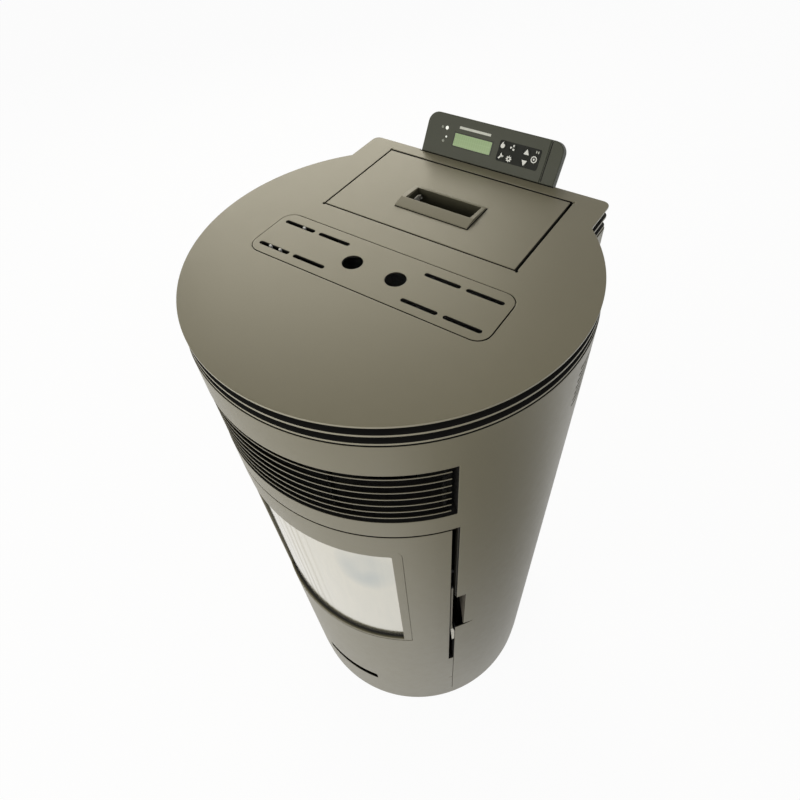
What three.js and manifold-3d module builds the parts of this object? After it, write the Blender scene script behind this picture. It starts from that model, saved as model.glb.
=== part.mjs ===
// Round pellet stove with a curved glazed door, a lidded pellet hopper and a
// tilted control console. Millimetres, +Z up, the door faces -Y, the floor is z = 0.
// Angles (phi) are in degrees round the casing's axis, 0 at the front, positive to the right.
import * as THREE from 'three';
import { mergeVertices } from 'three/addons/utils/BufferGeometryUtils.js';
import Module from 'manifold-3d';

const wasm = await Module();
wasm.setup();

// ---------------------------------------------------------------- driving dimensions
const topHeight = 1046; // floor to the upper face of the top plate
const casingRadius = 251; // outer face of the wrapped casing
const casingWall = 2;
const plateInset = 1; // edge of the three stacked plates, in from the casing's face
const backHalfWidth = 182.8; // half the width of the hopper's bay behind the round part
const backReach = 232.3; // axis to the rear edge of the plates
const cornerRadius = 10; // rear corners of the plates
const plateThickness = 3;
const finPitch = 13.8; // top face to top face of the stacked plates
const finRim = 34; // width of the two lower plates' rims
const finBackRim = 12;
const collarInset = 14; // spacer collars, in from the plates' edge
const collarBackInset = 8;
const collarWall = 3;
const topShadowGap = 3; // open line between the lowest plate and the casing
const arcStep = 5; // degrees per facet, shared by every curved piece
const fit = 0.3; // clearance between pieces that meet
const tidyTolerance = 0.01; // facets flatter than this are merged

const plinthTop = 44;
const plinthLift = 6; // plinth's lower edge above the floor
const plinthWall = 2;
const basePlateLevel = 12;
const basePlateThickness = 3;

const doorHalfAngle = 51.5; // edge of the casing's door opening
const doorHeadDrop = 224.2; // top face down to the head of the door opening
const doorTopSeam = 3.6;
const doorBottomSeam = 1.2;
const doorRightSeam = 1; // mm along the casing
const doorLeftSeam = 4; // wider, so that the hinged edge swings clear
const slotWidth = 10.5; // tall finger slot beside the door
const slotBottom = 276;
const airSlotHalfAngle = 14.4; // long low slot near the foot of the door
const airSlotLevels = [122, 150];
const notchTop = 589; // finger notch in the right side of the slot
const notchBottom = 451;
const notchWidth = 15;

const grilleHalfAngle = 50.5;
const grilleHeadDrop = 85; // top face down to the warm-air outlet
const grilleHeight = 103;
const slatCount = 7;
const slatPitch = 14;
const slatDepth = 9;
const slatDrop = 14;
const slatThickness = 3; // measured upright
const slatHalfAngle = 48.8;

const windowHalfAngle = 31; // clear window inside the bezel
const windowHeadDrop = 60.8; // head of the door opening down to the clear window
const windowBottom = 427;
const bezelHalfAngle = 34.3;
const bezelTopRim = 23; // above the clear window
const bezelBottomRim = 6;
const bezelCorner = 22;
const glassInset = 7; // casing's face to the outer face of the curved glass
const glassThickness = 4;
const glassOverlap = 9; // glass edge beyond the clear window
const gasketThickness = 2;
const frameThickness = 5;
const frameHalfAngle = 46;
const frameHeadGap = 5.8; // head of the door opening down to the door's inner frame
const frameBottom = 296;
const sealThickness = 5.5;

const fireboxSideGap = 101; // casing's face at its widest to the firebox's side
const fireboxBack = -5; // rear face
const fireboxFloor = 302;
const fireboxWall = 3;
const fireboxFrontWall = 3.7;
const mouthHalfAngle = 37.5;
const mouthRim = 18; // firebox front left above the mouth
const mouthSill = 20;
const potPlateHeight = 98; // above the firebox's floor
const potPlateThickness = 4;
const potHalfWidth = 45.7;
const potFront = -145.7;
const potRear = -64.3;
const potDepth = 48;
const potWall = 5;
const ashPanHeight = 39.7;
const ashPanHalfWidth = 110;

const lidHalfWidth = 139.2;
const lidFront = 54.5;
const lidBackInset = 23.8; // plates' rear edge to the lid's rear edge
const lidGap = 1.5;
const lidRearGap = 3.5;
const lidSkirt = 7.5;
const lidAxisInset = 6.5; // lid's rear edge to its hinge rod
const lidAxisDrop = 8.5; // below the top face
const lidRodRadius = 2.5;
const gripHalfWidth = 53.5;
const gripCentre = -1;
const gripFront = 94;
const gripRear = 145;
const gripRise = 5.5;
const pocketHalfWidth = 48;
const pocketFront = 112.5;
const pocketRear = 140.5;
const pocketDepth = 24;
const pocketWall = 1.5;

const ventHalfWidth = 166.6;
const ventFront = -68.8;
const ventRear = 14;
const ventCorner = 17;
const ventGap = 1;
const ventLedge = 8;
const ventPatternX = -1.2; // middle of the slots and finger holes
const slotLength = 47.3;
const slotThickness = 5.5;
const slotRows = [-3.5, -53.6];
const slotStarts = [54.8, 109.8]; // inner ends, measured from the pattern's middle
const fingerHoleRadius = 12.2;
const fingerHoleX = 31;
const fingerHoleY = -28.2;

const hopperHalfWidth = 134;
const hopperFront = 60;
const hopperRearInset = 18.5; // lid's rear edge to the hopper's rear face
const hopperWall = 2;
const lidSealHeight = 4; // hopper's rim to the lid's underside
const hopperDepth = 279; // rim to the shoulder, where the walls slope inwards
const throatHalfWidth = 24;
const throatFront = 96;
const throatRear = 146;
const throatBottom = 445;

const augerFootY = 142;
const augerFootZ = 420;
const augerLength = 170;
const augerTilt = 45; // degrees above the horizontal
const augerTubeRadius = 30;
const augerTubeWall = 3;
const augerScrewRadius = 25;
const augerShaftRadius = 7;
const augerTurns = 4;
const augerBladeThickness = 3;

const flueX = 60;
const flueZ = 230;
const flueRadius = 40;
const flueWall = 2;
const flueReach = 38; // beyond the rear panel
const fanInset = 112.3; // plates' rear edge to the exhaust fan's axis
const fanZ = 190;
const fanRadius = 70;
const fanHalfWidth = 25;
const blowerX = -105;
const blowerY = 105;
const blowerZ = 170;
const blowerRadius = 72;
const blowerHalfWidth = 45;
const sheet = 1.5; // wall of the fan housings and ducts

const intakeX = -60;
const intakeZ = 340;
const intakeRadius = 25;

const consoleLean = 30.8; // degrees back from the vertical
const consoleLeft = -101.3;
const consoleRight = 102.9;
const consoleHeight = 54.6;
const consoleDepth = 16;
const consoleWall = 2;
const consoleCorner = 15;
const consoleStep = 84; // the face to the right of this line lies lower
const displayLeft = -58.5;
const displayRight = 8;
const displayLow = 14.5;
const displayHigh = 35.5;
const keyRadius = 5;
const keys = {
  key_flame: [19.4, 33.8],
  key_fan: [34.2, 33.4],
  key_service: [20.4, 19.6],
  key_settings: [32.9, 18.9],
  key_up: [55, 32.4],
  key_down: [55.2, 19.2],
  key_select: [67.4, 26],
};

// ---------------------------------------------------------------- levels that follow
const plateRadius = casingRadius - plateInset;
const topPlateLow = topHeight - plateThickness;
const upperFinTop = topHeight - finPitch;
const upperFinLow = upperFinTop - plateThickness;
const lowerFinTop = topHeight - 2 * finPitch;
const lowerFinLow = lowerFinTop - plateThickness;
const casingTop = lowerFinLow - topShadowGap;
const casingBottom = plinthTop + fit;
const casingInner = casingRadius - casingWall;
const basePlateTop = basePlateLevel + basePlateThickness;
const sidePanelX = backHalfWidth + plateInset;
const rearPanelInner = backReach - 0.7;
const doorOpeningTop = topHeight - doorHeadDrop;
const grilleTop = topHeight - grilleHeadDrop;
const grilleBottom = grilleTop - grilleHeight;
const windowTop = doorOpeningTop - windowHeadDrop;
const bezelTop = windowTop + bezelTopRim;
const bezelBottom = windowBottom - bezelBottomRim;
const glassRadius = casingRadius - glassInset;
const frameTop = doorOpeningTop - frameHeadGap;
const fireboxHalfWidth = casingRadius - fireboxSideGap;
const fireboxTop = frameTop - 1;
const mouthTop = fireboxTop - mouthRim;
const mouthBottom = fireboxFloor + mouthSill;
const potPlateLevel = fireboxFloor + potPlateHeight;
const lidRear = backReach - lidBackInset;
const lidAxisY = lidRear - lidAxisInset;
const hopperRear = lidRear - hopperRearInset;
const hopperRim = topPlateLow - lidSealHeight;
const hopperShoulder = hopperRim - hopperDepth;
const fanY = backReach - fanInset;
const radians = THREE.MathUtils.degToRad;

// ---------------------------------------------------------------- finishes
function finish(color, roughness, metalness) {
  return new THREE.MeshStandardMaterial({ color, roughness, metalness });
}
const paintedSteel = finish(0x87826f, 0.55, 0.2);
const plainSteel = finish(0x9a9a94, 0.4, 0.9);
const blackSteel = finish(0x1d1c19, 0.7, 0.4);
const castIron = finish(0x2b2a28, 0.8, 0.5);
const ceramicGlass = new THREE.MeshStandardMaterial(
  { color: 0xcfd3d0, roughness: 0.05, metalness: 0, transparent: true, opacity: 0.4 });
const rope = finish(0x2f2e2b, 0.95, 0);
const vermiculite = finish(0xb59d72, 0.9, 0);
const darkPlastic = finish(0x454840, 0.5, 0);
const keyPlastic = finish(0x171916, 0.4, 0);
const display = finish(0x8fa67c, 0.3, 0);
const galvanised = finish(0xb4b6b3, 0.4, 0.8);

// ---------------------------------------------------------------- solids
const stove = new THREE.Group();

// A closed geometry as a solid that can be cut and joined.
function solid(geometry) {
  const bare = geometry.clone();
  bare.deleteAttribute('normal');
  bare.deleteAttribute('uv');
  const merged = mergeVertices(bare, 1e-4);
  const index = merged.index.array;
  const triangles = [];
  for (let i = 0; i < index.length; i += 3) {
    const [a, b, c] = [index[i], index[i + 1], index[i + 2]];
    if (a !== b && b !== c && c !== a) triangles.push(a, b, c);
  }
  return new wasm.Manifold(new wasm.Mesh({
    numProp: 3,
    vertProperties: Float32Array.from(merged.attributes.position.array),
    triVerts: Uint32Array.from(triangles),
  }));
}

function addPiece(name, shape, material) {
  const mesh = shape.simplify(tidyTolerance).getMesh();
  const geometry = new THREE.BufferGeometry();
  geometry.setAttribute('position', new THREE.BufferAttribute(mesh.vertProperties, 3));
  geometry.setIndex(new THREE.BufferAttribute(mesh.triVerts, 1));
  geometry.computeVertexNormals();
  const piece = new THREE.Mesh(geometry, material);
  piece.name = name;
  stove.add(piece);
}

function joined(...shapes) {
  return shapes.reduce((whole, shape) => whole.add(shape));
}

function cut(shape, ...tools) {
  return tools.reduce((rest, tool) => rest.subtract(tool), shape);
}

function onCircle(radius, phi) {
  return new THREE.Vector2(radius * Math.sin(radians(phi)), -radius * Math.cos(radians(phi)));
}

// Points from one angle to the other, on the facet angles that all pieces share.
function arc(radius, from, to) {
  const points = [onCircle(radius, from)];
  const way = Math.sign(to - from);
  let step = (way > 0 ? Math.floor(from / arcStep) + 1 : Math.ceil(from / arcStep) - 1) * arcStep;
  while (way * (to - step) > 1e-6) {
    points.push(onCircle(radius, step));
    step += way * arcStep;
  }
  points.push(onCircle(radius, to));
  return points;
}

// The plates' outline: a circle with a straight-sided bay behind it.
function outline(inset, backInset = inset, radius = plateRadius) {
  const r = radius - inset;
  const x = backHalfWidth + radius - plateRadius - inset;
  const y = backReach - backInset;
  const c = Math.max(cornerRadius - inset, 1);
  const joint = 180 - THREE.MathUtils.radToDeg(Math.asin(x / r));
  const corner = (side, turn) => new THREE.Vector2(
    side * (x - c + c * Math.cos(radians(turn))), y - c + c * Math.sin(radians(turn)));
  return [
    ...arc(r, -joint, joint),
    ...[0, 30, 60, 90].map((turn) => corner(1, turn)),
    ...[90, 60, 30, 0].map((turn) => corner(-1, turn)),
  ];
}

function shapeOf(points, holes = []) {
  const shape = new THREE.Shape(points);
  shape.holes = holes.map((hole) => new THREE.Path(hole));
  return shape;
}

// A flat outline raised between two heights.
function plate(points, [low, high], holes = []) {
  const geometry = new THREE.ExtrudeGeometry(shapeOf(points, holes),
    { depth: high - low, bevelEnabled: false });
  geometry.translate(0, 0, low);
  return solid(geometry);
}

// An outline drawn in Y and Z, extruded along X, then turned to its place round the axis.
function sideProfile(points, [left, right], turn = 0) {
  const outlinePoints = points.map(([y, z]) => new THREE.Vector2(y, z));
  const geometry = new THREE.ExtrudeGeometry(shapeOf(outlinePoints),
    { depth: right - left, bevelEnabled: false });
  geometry.translate(0, 0, left);
  geometry.applyMatrix4(new THREE.Matrix4().makeBasis(
    new THREE.Vector3(0, 1, 0), new THREE.Vector3(0, 0, 1), new THREE.Vector3(1, 0, 0)));
  geometry.rotateZ(radians(turn));
  return solid(geometry);
}

// An outline drawn in X and Z, extruded along Y, then turned to its place round the axis.
function frontProfile(points, [near, far], turn = 0) {
  const outlinePoints = points.map(([x, z]) => new THREE.Vector2(x, z));
  const geometry = new THREE.ExtrudeGeometry(shapeOf(outlinePoints),
    { depth: far - near, bevelEnabled: false });
  geometry.translate(0, 0, -far);
  geometry.applyMatrix4(new THREE.Matrix4().makeBasis(
    new THREE.Vector3(1, 0, 0), new THREE.Vector3(0, 0, 1), new THREE.Vector3(0, -1, 0)));
  geometry.rotateZ(radians(turn));
  return solid(geometry);
}

function block([x0, x1], [y0, y1], [z0, z1], turn = 0) {
  const geometry = new THREE.BoxGeometry(x1 - x0, y1 - y0, z1 - z0);
  geometry.translate((x0 + x1) / 2, (y0 + y1) / 2, (z0 + z1) / 2);
  geometry.rotateZ(radians(turn));
  return solid(geometry);
}

function mirroredBlocks([x0, x1], y, z) {
  return joined(block([x0, x1], y, z), block([-x1, -x0], y, z));
}

// A round bar between two points, turned to its place round the axis.
function rod(from, to, radius, sides = 24, turn = 0) {
  const start = new THREE.Vector3(...from);
  const way = new THREE.Vector3(...to).sub(start);
  const geometry = new THREE.CylinderGeometry(radius, radius, way.length(), sides);
  geometry.translate(0, way.length() / 2, 0);
  geometry.applyQuaternion(new THREE.Quaternion().setFromUnitVectors(
    new THREE.Vector3(0, 1, 0), way.normalize()));
  geometry.translate(start.x, start.y, start.z);
  geometry.rotateZ(radians(turn));
  return solid(geometry);
}

// Part of a ring with straight walls.
function sector([inner, outer], [from, to], z) {
  return plate([...arc(outer, from, to), ...arc(inner, to, from)], z);
}

function roundedRectangle([x0, x1], [y0, y1], radius, steps = 6) {
  const points = [];
  const centres = [[x1 - radius, y0 + radius, -90], [x1 - radius, y1 - radius, 0],
    [x0 + radius, y1 - radius, 90], [x0 + radius, y0 + radius, 180]];
  for (const [x, y, start] of centres) {
    for (let step = 0; step <= steps; step++) {
      const angle = radians(start + (90 * step) / steps);
      points.push(new THREE.Vector2(x + radius * Math.cos(angle), y + radius * Math.sin(angle)));
    }
  }
  return points;
}

function circle(x, y, radius, sides = 24) {
  return Array.from({ length: sides }, (_, i) => new THREE.Vector2(
    x + radius * Math.cos((2 * Math.PI * i) / sides), y + radius * Math.sin((2 * Math.PI * i) / sides)));
}

function degreesAlong(length) {
  return THREE.MathUtils.radToDeg(length / casingRadius);
}

// ---------------------------------------------------------------- base, feet and chassis
const rearFoot = { x: sidePanelX - 48.8, y: backReach - 42.3 };
const footSpots = {
  foot_front_left: [-125, -150], foot_front_right: [125, -150],
  foot_rear_left: [-rearFoot.x, rearFoot.y], foot_rear_right: [rearFoot.x, rearFoot.y],
};
const studRadius = 5;
for (const [name, [x, y]] of Object.entries(footSpots)) {
  addPiece(name, joined(
    rod([x, y, 0], [x, y, 7], 22),
    rod([x, y, 7], [x, y, basePlateLevel], 9, 6),
    rod([x, y, basePlateLevel], [x, y, basePlateTop + 13], studRadius, 16)), blackSteel);
}

const studHoles = Object.values(footSpots).map(([x, y]) => circle(x, y, studRadius + fit, 16));
addPiece('base_pan', joined(
  plate(outline(1), [basePlateLevel, basePlateTop], studHoles),
  plate(outline(0), [plinthLift, plinthTop], [outline(plinthWall)])), paintedSteel);

const postAngle = 59.5;
const postWidth = 24;
const postRadius = casingRadius - 25; // to the posts' middle
const rearPost = {
  x: [sidePanelX - 9.8 - postWidth, sidePanelX - 9.8],
  y: [rearPanelInner - 11.6 - postWidth, rearPanelInner - 11.6],
};
const postTop = lowerFinLow - 6;
const frontBeam = {
  x: postRadius * Math.sin(radians(postAngle)) - 8,
  y: -postRadius * Math.cos(radians(postAngle)),
};
const beamLevels = [fireboxFloor - 16, fireboxFloor];
const keeperAngle = 49.9;
const hingeAngle = -doorHalfAngle + degreesAlong(doorLeftSeam + 3);
const hingeRadius = casingRadius - 6.5;
const hingePinRadius = 2.5;
const hingeLevels = { door_hinge_pin_lower: 340, door_hinge_pin_upper: doorOpeningTop - 61.8 };
const sleeveRadius = 4.2;
const armThickness = 4;
const collarHeight = 1.5;
const sleeveHeight = 30;

// A flat arm from the left post with a round nose under the door's sleeve.
function hingeArm(level) {
  const thick = [level - armThickness, level];
  return cut(joined(
    block([-32, 4], [-postRadius - 2, -postRadius + 12], thick, hingeAngle),
    block([-3.6, 3.6], [-hingeRadius, -postRadius + 10], thick, hingeAngle),
    rod([0, -hingeRadius, thick[0]], [0, -hingeRadius, thick[1]], sleeveRadius, 16, hingeAngle)),
  rod([0, -hingeRadius, level - 10], [0, -hingeRadius, level + 10],
    hingePinRadius + fit, 16, hingeAngle));
}

const chassisPosts = [-postAngle, postAngle].map((phi) => block([-postWidth / 2, postWidth / 2],
  [-postRadius - postWidth / 2, -postRadius + postWidth / 2], [basePlateTop, postTop], phi));
const latchKeeper = joined(
  block([2, 34], [-postRadius - 4, -postRadius + 4], [634, 646], keeperAngle),
  rod([0.5 + 1.5 + fit, -postRadius, 640], [6, -postRadius, 640], 3, 12, keeperAngle));
addPiece('chassis_frame', joined(
  ...chassisPosts,
  mirroredBlocks(rearPost.x, rearPost.y, [basePlateTop, postTop]),
  plate(outline(6), [postTop, lowerFinLow], [outline(finRim, finBackRim)]),
  block([-frontBeam.x, frontBeam.x], [frontBeam.y - 8, frontBeam.y + 8], beamLevels),
  block([-rearPost.x[0] - 10, rearPost.x[0] + 10], [rearPost.y[0] + 2, rearPost.y[0] + 18], beamLevels),
  mirroredBlocks([100, 116], [frontBeam.y, rearPost.y[0] + 10], beamLevels),
  ...Object.values(hingeLevels).map(hingeArm),
  latchKeeper), blackSteel);

for (const [name, level] of Object.entries(hingeLevels)) {
  addPiece(name, joined(
    rod([0, -hingeRadius, level - armThickness - 2], [0, -hingeRadius, level + sleeveHeight],
      hingePinRadius, 16, hingeAngle),
    rod([0, -hingeRadius, level], [0, -hingeRadius, level + collarHeight], 3.9, 16, hingeAngle)),
  plainSteel);
}

// ---------------------------------------------------------------- casing
const slotAngle = doorHalfAngle - degreesAlong(doorRightSeam);
const notchEnd = doorHalfAngle + degreesAlong(notchWidth);
const through = [casingRadius - 30, casingRadius + 20];
const rearReturn = 24;
const cheekAt = (inset, z) => [inset - casingInner - 0.5, z];
const notchCheek = sideProfile([cheekAt(0, notchTop + 2), cheekAt(27.5, notchTop + 2),
  cheekAt(27.5, notchTop - 4), cheekAt(6, notchBottom + 4), cheekAt(0, notchBottom)],
[0.2, 1.4], notchEnd);
addPiece('casing_wrap', joined(notchCheek, cut(
  plate(outline(0, 0, casingRadius), [casingBottom, casingTop],
    [outline(casingWall, casingWall, casingRadius)]),
  sector(through, [-doorHalfAngle, doorHalfAngle], [casingBottom - 5, doorOpeningTop]),
  sector(through, [doorHalfAngle - 1, notchEnd], [notchBottom, notchTop]),
  frontProfile([[-9, notchBottom], [18, notchBottom], [-9, notchBottom + 12]],
    [-casingRadius - 10, -casingInner + 20], notchEnd),
  sector(through, [-grilleHalfAngle, grilleHalfAngle], [grilleBottom, grilleTop]),
  block([rearReturn - sidePanelX, sidePanelX - rearReturn], [backReach - 20, backReach + 20],
    [casingBottom - 5, casingTop + 5]))), paintedSteel);

const socketX = [-150, -100];
const socketZ = [70, 100];
const flueHole = rod([flueX, 150, flueZ], [flueX, 300, flueZ], flueRadius + fit, 32);
const intakeHole = (radius) => rod([intakeX, -50, intakeZ], [intakeX, 300, intakeZ], radius, 24);
const socketHole = block([socketX[0] + 2 - fit, socketX[1] - 2 + fit], [150, 300],
  [socketZ[0] + 2 - fit, socketZ[1] - 2 + fit]);
addPiece('rear_panel', cut(
  block([14 - sidePanelX, sidePanelX - 14], [backReach + fit, backReach + fit + 1.5],
    [casingBottom + 6, casingTop - 6]),
  flueHole, intakeHole(intakeRadius + fit), socketHole), paintedSteel);

// ---------------------------------------------------------------- stacked plates
const finHole = outline(finRim, finBackRim);
const collarRing = (levels) => plate(outline(collarInset, collarBackInset), levels,
  [outline(collarInset + collarWall, collarBackInset + collarWall)]);
addPiece('fin_plate_lower', plate(outline(0), [lowerFinLow, lowerFinTop], [finHole]), paintedSteel);
addPiece('fin_plate_upper', joined(
  plate(outline(0), [upperFinLow, upperFinTop], [finHole]),
  collarRing([lowerFinTop, upperFinLow])), paintedSteel);

const topRange = [topPlateLow, topHeight];
const lidAxisZ = topHeight - lidAxisDrop;
const lidOpening = roundedRectangle([-lidHalfWidth - lidGap, lidHalfWidth + lidGap],
  [lidFront - lidGap, lidRear + lidRearGap], 1.5, 2);
const ventOutline = (grow) => roundedRectangle([-ventHalfWidth - grow, ventHalfWidth + grow],
  [ventFront - grow, ventRear + grow], ventCorner + grow);
const ledgeLow = topPlateLow - 2.5;
addPiece('top_plate', cut(joined(
  plate(outline(0), topRange, [lidOpening, ventOutline(ventGap)]),
  plate(ventOutline(ventLedge), [ledgeLow, topPlateLow], [ventOutline(-ventLedge)]),
  collarRing([upperFinTop, topPlateLow])),
block([consoleLeft - 2, consoleRight + 2], [backReach - 2.8, backReach + 5],
  [topPlateLow - 0.5, topHeight + 1])), paintedSteel);

const ventSlots = [];
for (const y of slotRows) {
  for (const start of slotStarts) {
    for (const side of [-1, 1]) {
      const middle = ventPatternX + side * (start + slotLength / 2);
      ventSlots.push(roundedRectangle([middle - slotLength / 2, middle + slotLength / 2],
        [y - slotThickness / 2, y + slotThickness / 2], slotThickness / 2 - 0.01, 3));
    }
  }
}
addPiece('vent_panel', plate(ventOutline(0), topRange, [
  ...ventSlots,
  circle(ventPatternX - fingerHoleX, fingerHoleY, fingerHoleRadius),
  circle(ventPatternX + fingerHoleX, fingerHoleY, fingerHoleRadius)]), paintedSteel);

// ---------------------------------------------------------------- hopper lid
const lidUnder = topPlateLow;
const skirtLow = lidUnder - lidSkirt;
const pocketCentre = [gripCentre - pocketHalfWidth, gripCentre + pocketHalfWidth];
const grown = ([low, high], by) => [low - by, high + by];
const pocketHole = block(grown(pocketCentre, pocketWall + fit),
  [pocketFront - pocketWall - fit, pocketRear + pocketWall + fit], [skirtLow - 5, topHeight + 1]);
const lugX = 119;
addPiece('hopper_lid', cut(joined(
  block([-lidHalfWidth, lidHalfWidth], [lidFront, lidRear], topRange),
  block([-lidHalfWidth, lidHalfWidth], [lidFront, lidFront + sheet], [skirtLow, lidUnder + 1]),
  mirroredBlocks([lidHalfWidth - sheet, lidHalfWidth], [lidFront, lidAxisY - 4],
    [skirtLow, lidUnder + 1]),
  mirroredBlocks([lugX - 3, lugX], [lidAxisY - 5, lidAxisY + 5], [lidAxisZ - 4.5, lidUnder + 1])),
pocketHole,
rod([-lugX - 5, lidAxisY, lidAxisZ], [lugX + 5, lidAxisY, lidAxisZ], lidRodRadius + fit, 16)),
paintedSteel);

const pocketLow = topHeight - pocketDepth;
addPiece('lid_handle', cut(joined(
  block(grown(pocketCentre, pocketWall), [pocketFront - pocketWall, pocketRear + pocketWall],
    [pocketLow, topHeight + 1.5]),
  sideProfile([[gripFront, topHeight], [gripRear, topHeight], [gripRear, topHeight + 1.2],
    [pocketFront, topHeight + gripRise], [gripFront, topHeight + 2.2]],
  [gripCentre - gripHalfWidth, gripCentre + gripHalfWidth])),
block(pocketCentre, [pocketFront, pocketRear], [pocketLow + pocketWall, topHeight + 20])),
paintedSteel);

addPiece('lid_hinge_rod', rod([-128, lidAxisY, lidAxisZ], [128, lidAxisY, lidAxisZ],
  lidRodRadius, 16), plainSteel);

// ---------------------------------------------------------------- warm air outlet
const ductInner = casingRadius - 48;
const ductLevels = [grilleBottom - 3, grilleTop + 3];
const ductHalfAngle = grilleHalfAngle + 0.7;
const airSlots = [-30, 0, 30].map((phi) => sector([ductInner - 5, ductInner + 5],
  [phi - 11, phi + 11], [grilleBottom + 20, grilleTop - 20]));
addPiece('outlet_duct', cut(
  sector([ductInner, casingInner - fit], [-ductHalfAngle, ductHalfAngle], ductLevels),
  sector([ductInner + sheet, casingRadius + 5],
    [-ductHalfAngle + 0.4, ductHalfAngle - 0.4],
    [ductLevels[0] + sheet, ductLevels[1] - sheet]),
  ...airSlots), blackSteel);

// A slat is a band of a cone: its inner edge lies lower than its outer edge.
const slatOuter = casingRadius - 0.6;
const slatTop = (grilleTop + grilleBottom + (slatCount - 1) * slatPitch) / 2;
const grilleWedge = sector([ductInner, casingRadius + 50], [-slatHalfAngle, slatHalfAngle],
  [ductLevels[0] + sheet + fit, grilleTop]);
function slat(index) {
  const z = slatTop - index * slatPitch;
  const profile = [[slatOuter, z], [slatOuter, z + slatThickness], [slatOuter - slatDepth,
    z + slatThickness - slatDrop], [slatOuter - slatDepth, z - slatDrop], [slatOuter, z]];
  const band = new THREE.LatheGeometry(profile.map(([r, h]) => new THREE.Vector2(r, h)),
    360 / arcStep);
  band.rotateX(Math.PI / 2);
  return solid(band).intersect(grilleWedge);
}
const grilleRibs = [-slatHalfAngle + 1, -16, 16, slatHalfAngle - 1].map((phi) => block([-1, 1],
  [-slatOuter + slatDepth - 1, -slatOuter + slatDepth + 9],
  [ductLevels[0] + sheet + fit, grilleTop - 12], phi));
addPiece('outlet_grille', joined(
  ...Array.from({ length: slatCount }, (_, index) => slat(index)), ...grilleRibs), paintedSteel);

// ---------------------------------------------------------------- firebox
const doorFrameRadii = [glassRadius - glassThickness - gasketThickness - frameThickness - 2 * fit,
  glassRadius - glassThickness - gasketThickness - 2 * fit];
const sealOuter = doorFrameRadii[0] - fit;
const sealInner = sealOuter - sealThickness;
const fireboxFront = sealInner - fit;
const fireboxCorner = -Math.sqrt(fireboxFront ** 2 - fireboxHalfWidth ** 2); // y of its front corners
const furnitureFront = fireboxCorner + 9; // front ends of what lies along its sides

function fireboxPlan(inset, frontInset) {
  const radius = fireboxFront - frontInset;
  const x = fireboxHalfWidth - inset;
  const edge = THREE.MathUtils.radToDeg(Math.asin(x / radius));
  const back = fireboxBack - inset;
  return [...arc(radius, -edge, edge), new THREE.Vector2(x, back), new THREE.Vector2(-x, back)];
}
const chute = {
  halfWidth: 22,
  wall: 2.5,
  rearY: 40,
  frontY: -40,
  rearLow: 510,
  rearHigh: 548,
  frontLow: 440,
  frontHigh: 484,
  wallHole: [461, 519], // in the firebox's back wall
  liningHole: [446, 519],
};
const chuteHoleX = grown([-chute.halfWidth, chute.halfWidth], fit);
const chuteHole = block(chuteHoleX, [-60, 20], chute.wallHole);
const smokePort = { x: [-25, 25], z: [320, 360] };
const igniterZ = potPlateLevel - 22;
const igniterHole = rod([0, -80, igniterZ], [0, 20, igniterZ], 5 + fit, 16);
const ledge = (z) => mirroredBlocks([fireboxHalfWidth - 14, fireboxHalfWidth - 1],
  [furnitureFront, fireboxBack - 2], [z - 5, z]);
const baffleLevel = fireboxTop - 73;
addPiece('firebox', cut(joined(
  cut(plate(fireboxPlan(0, 0), [fireboxFloor, fireboxTop]),
    plate(fireboxPlan(fireboxWall, fireboxFrontWall),
      [fireboxFloor + fireboxWall, fireboxTop - fireboxWall])),
  ledge(potPlateLevel), ledge(baffleLevel)),
sector([fireboxFront - 50, fireboxFront + 20], [-mouthHalfAngle, mouthHalfAngle],
  [mouthBottom, mouthTop]),
chuteHole,
block(smokePort.x, [-12, 0], smokePort.z),
igniterHole,
cut(intakeHole(intakeRadius - 2), block([-100, 0], [20, 320], [300, 380]))), blackSteel);

const insideFront = (inset) => arc(fireboxFront - fireboxFrontWall - inset, -35, 35);
const insideBack = fireboxBack - fireboxWall - fit;
const potX = [-potHalfWidth, potHalfWidth];
const potHole = [[-potHalfWidth - fit, potFront - fit], [potHalfWidth + fit, potFront - fit],
  [potHalfWidth + fit, potRear + fit], [-potHalfWidth - fit, potRear + fit]];
const asPath = (corners) => corners.map(([x, y]) => new THREE.Vector2(x, y));
const ashSlot = (x0, x1) => asPath([[x0, -140], [x1, -140], [x1, -60], [x0, -60]]);
const plateX = fireboxHalfWidth - fireboxWall - fit;
addPiece('fire_plate', plate([...insideFront(8),
  new THREE.Vector2(plateX, furnitureFront), new THREE.Vector2(plateX, insideBack),
  new THREE.Vector2(-plateX, insideBack), new THREE.Vector2(-plateX, furnitureFront)],
[potPlateLevel, potPlateLevel + potPlateThickness],
[asPath(potHole), ashSlot(66, 118), ashSlot(-118, -66)]), castIron);

addPiece('back_liner', cut(
  block([20 - fireboxHalfWidth, fireboxHalfWidth - 20], [-30, insideBack],
    [potPlateLevel + potPlateThickness, baffleLevel - 42]),
  block(chuteHoleX, [-60, 20], chute.liningHole)), vermiculite);

addPiece('smoke_baffle', block([-plateX, plateX], [furnitureFront + 10, insideBack],
  [baffleLevel, baffleLevel + 4]), castIron);

const potTop = potPlateLevel + potPlateThickness;
const potHoles = [];
for (const x of [-24, 0, 24]) {
  for (const y of [-127, -105, -83]) {
    potHoles.push(rod([x, y, potTop - potDepth - 10], [x, y, potTop], 3.5, 8));
  }
}
addPiece('burn_pot', cut(joined(
  block(grown(potX, 8), [potFront - 8, potRear + 8], [potTop, potTop + 3]),
  block(potX, [potFront, potRear], [potTop - potDepth - 4, potTop + 1])),
block(grown(potX, -potWall), [potFront + potWall, potRear - potWall],
  [potTop - potDepth, potTop + 10]),
...potHoles, igniterHole), castIron);

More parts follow.
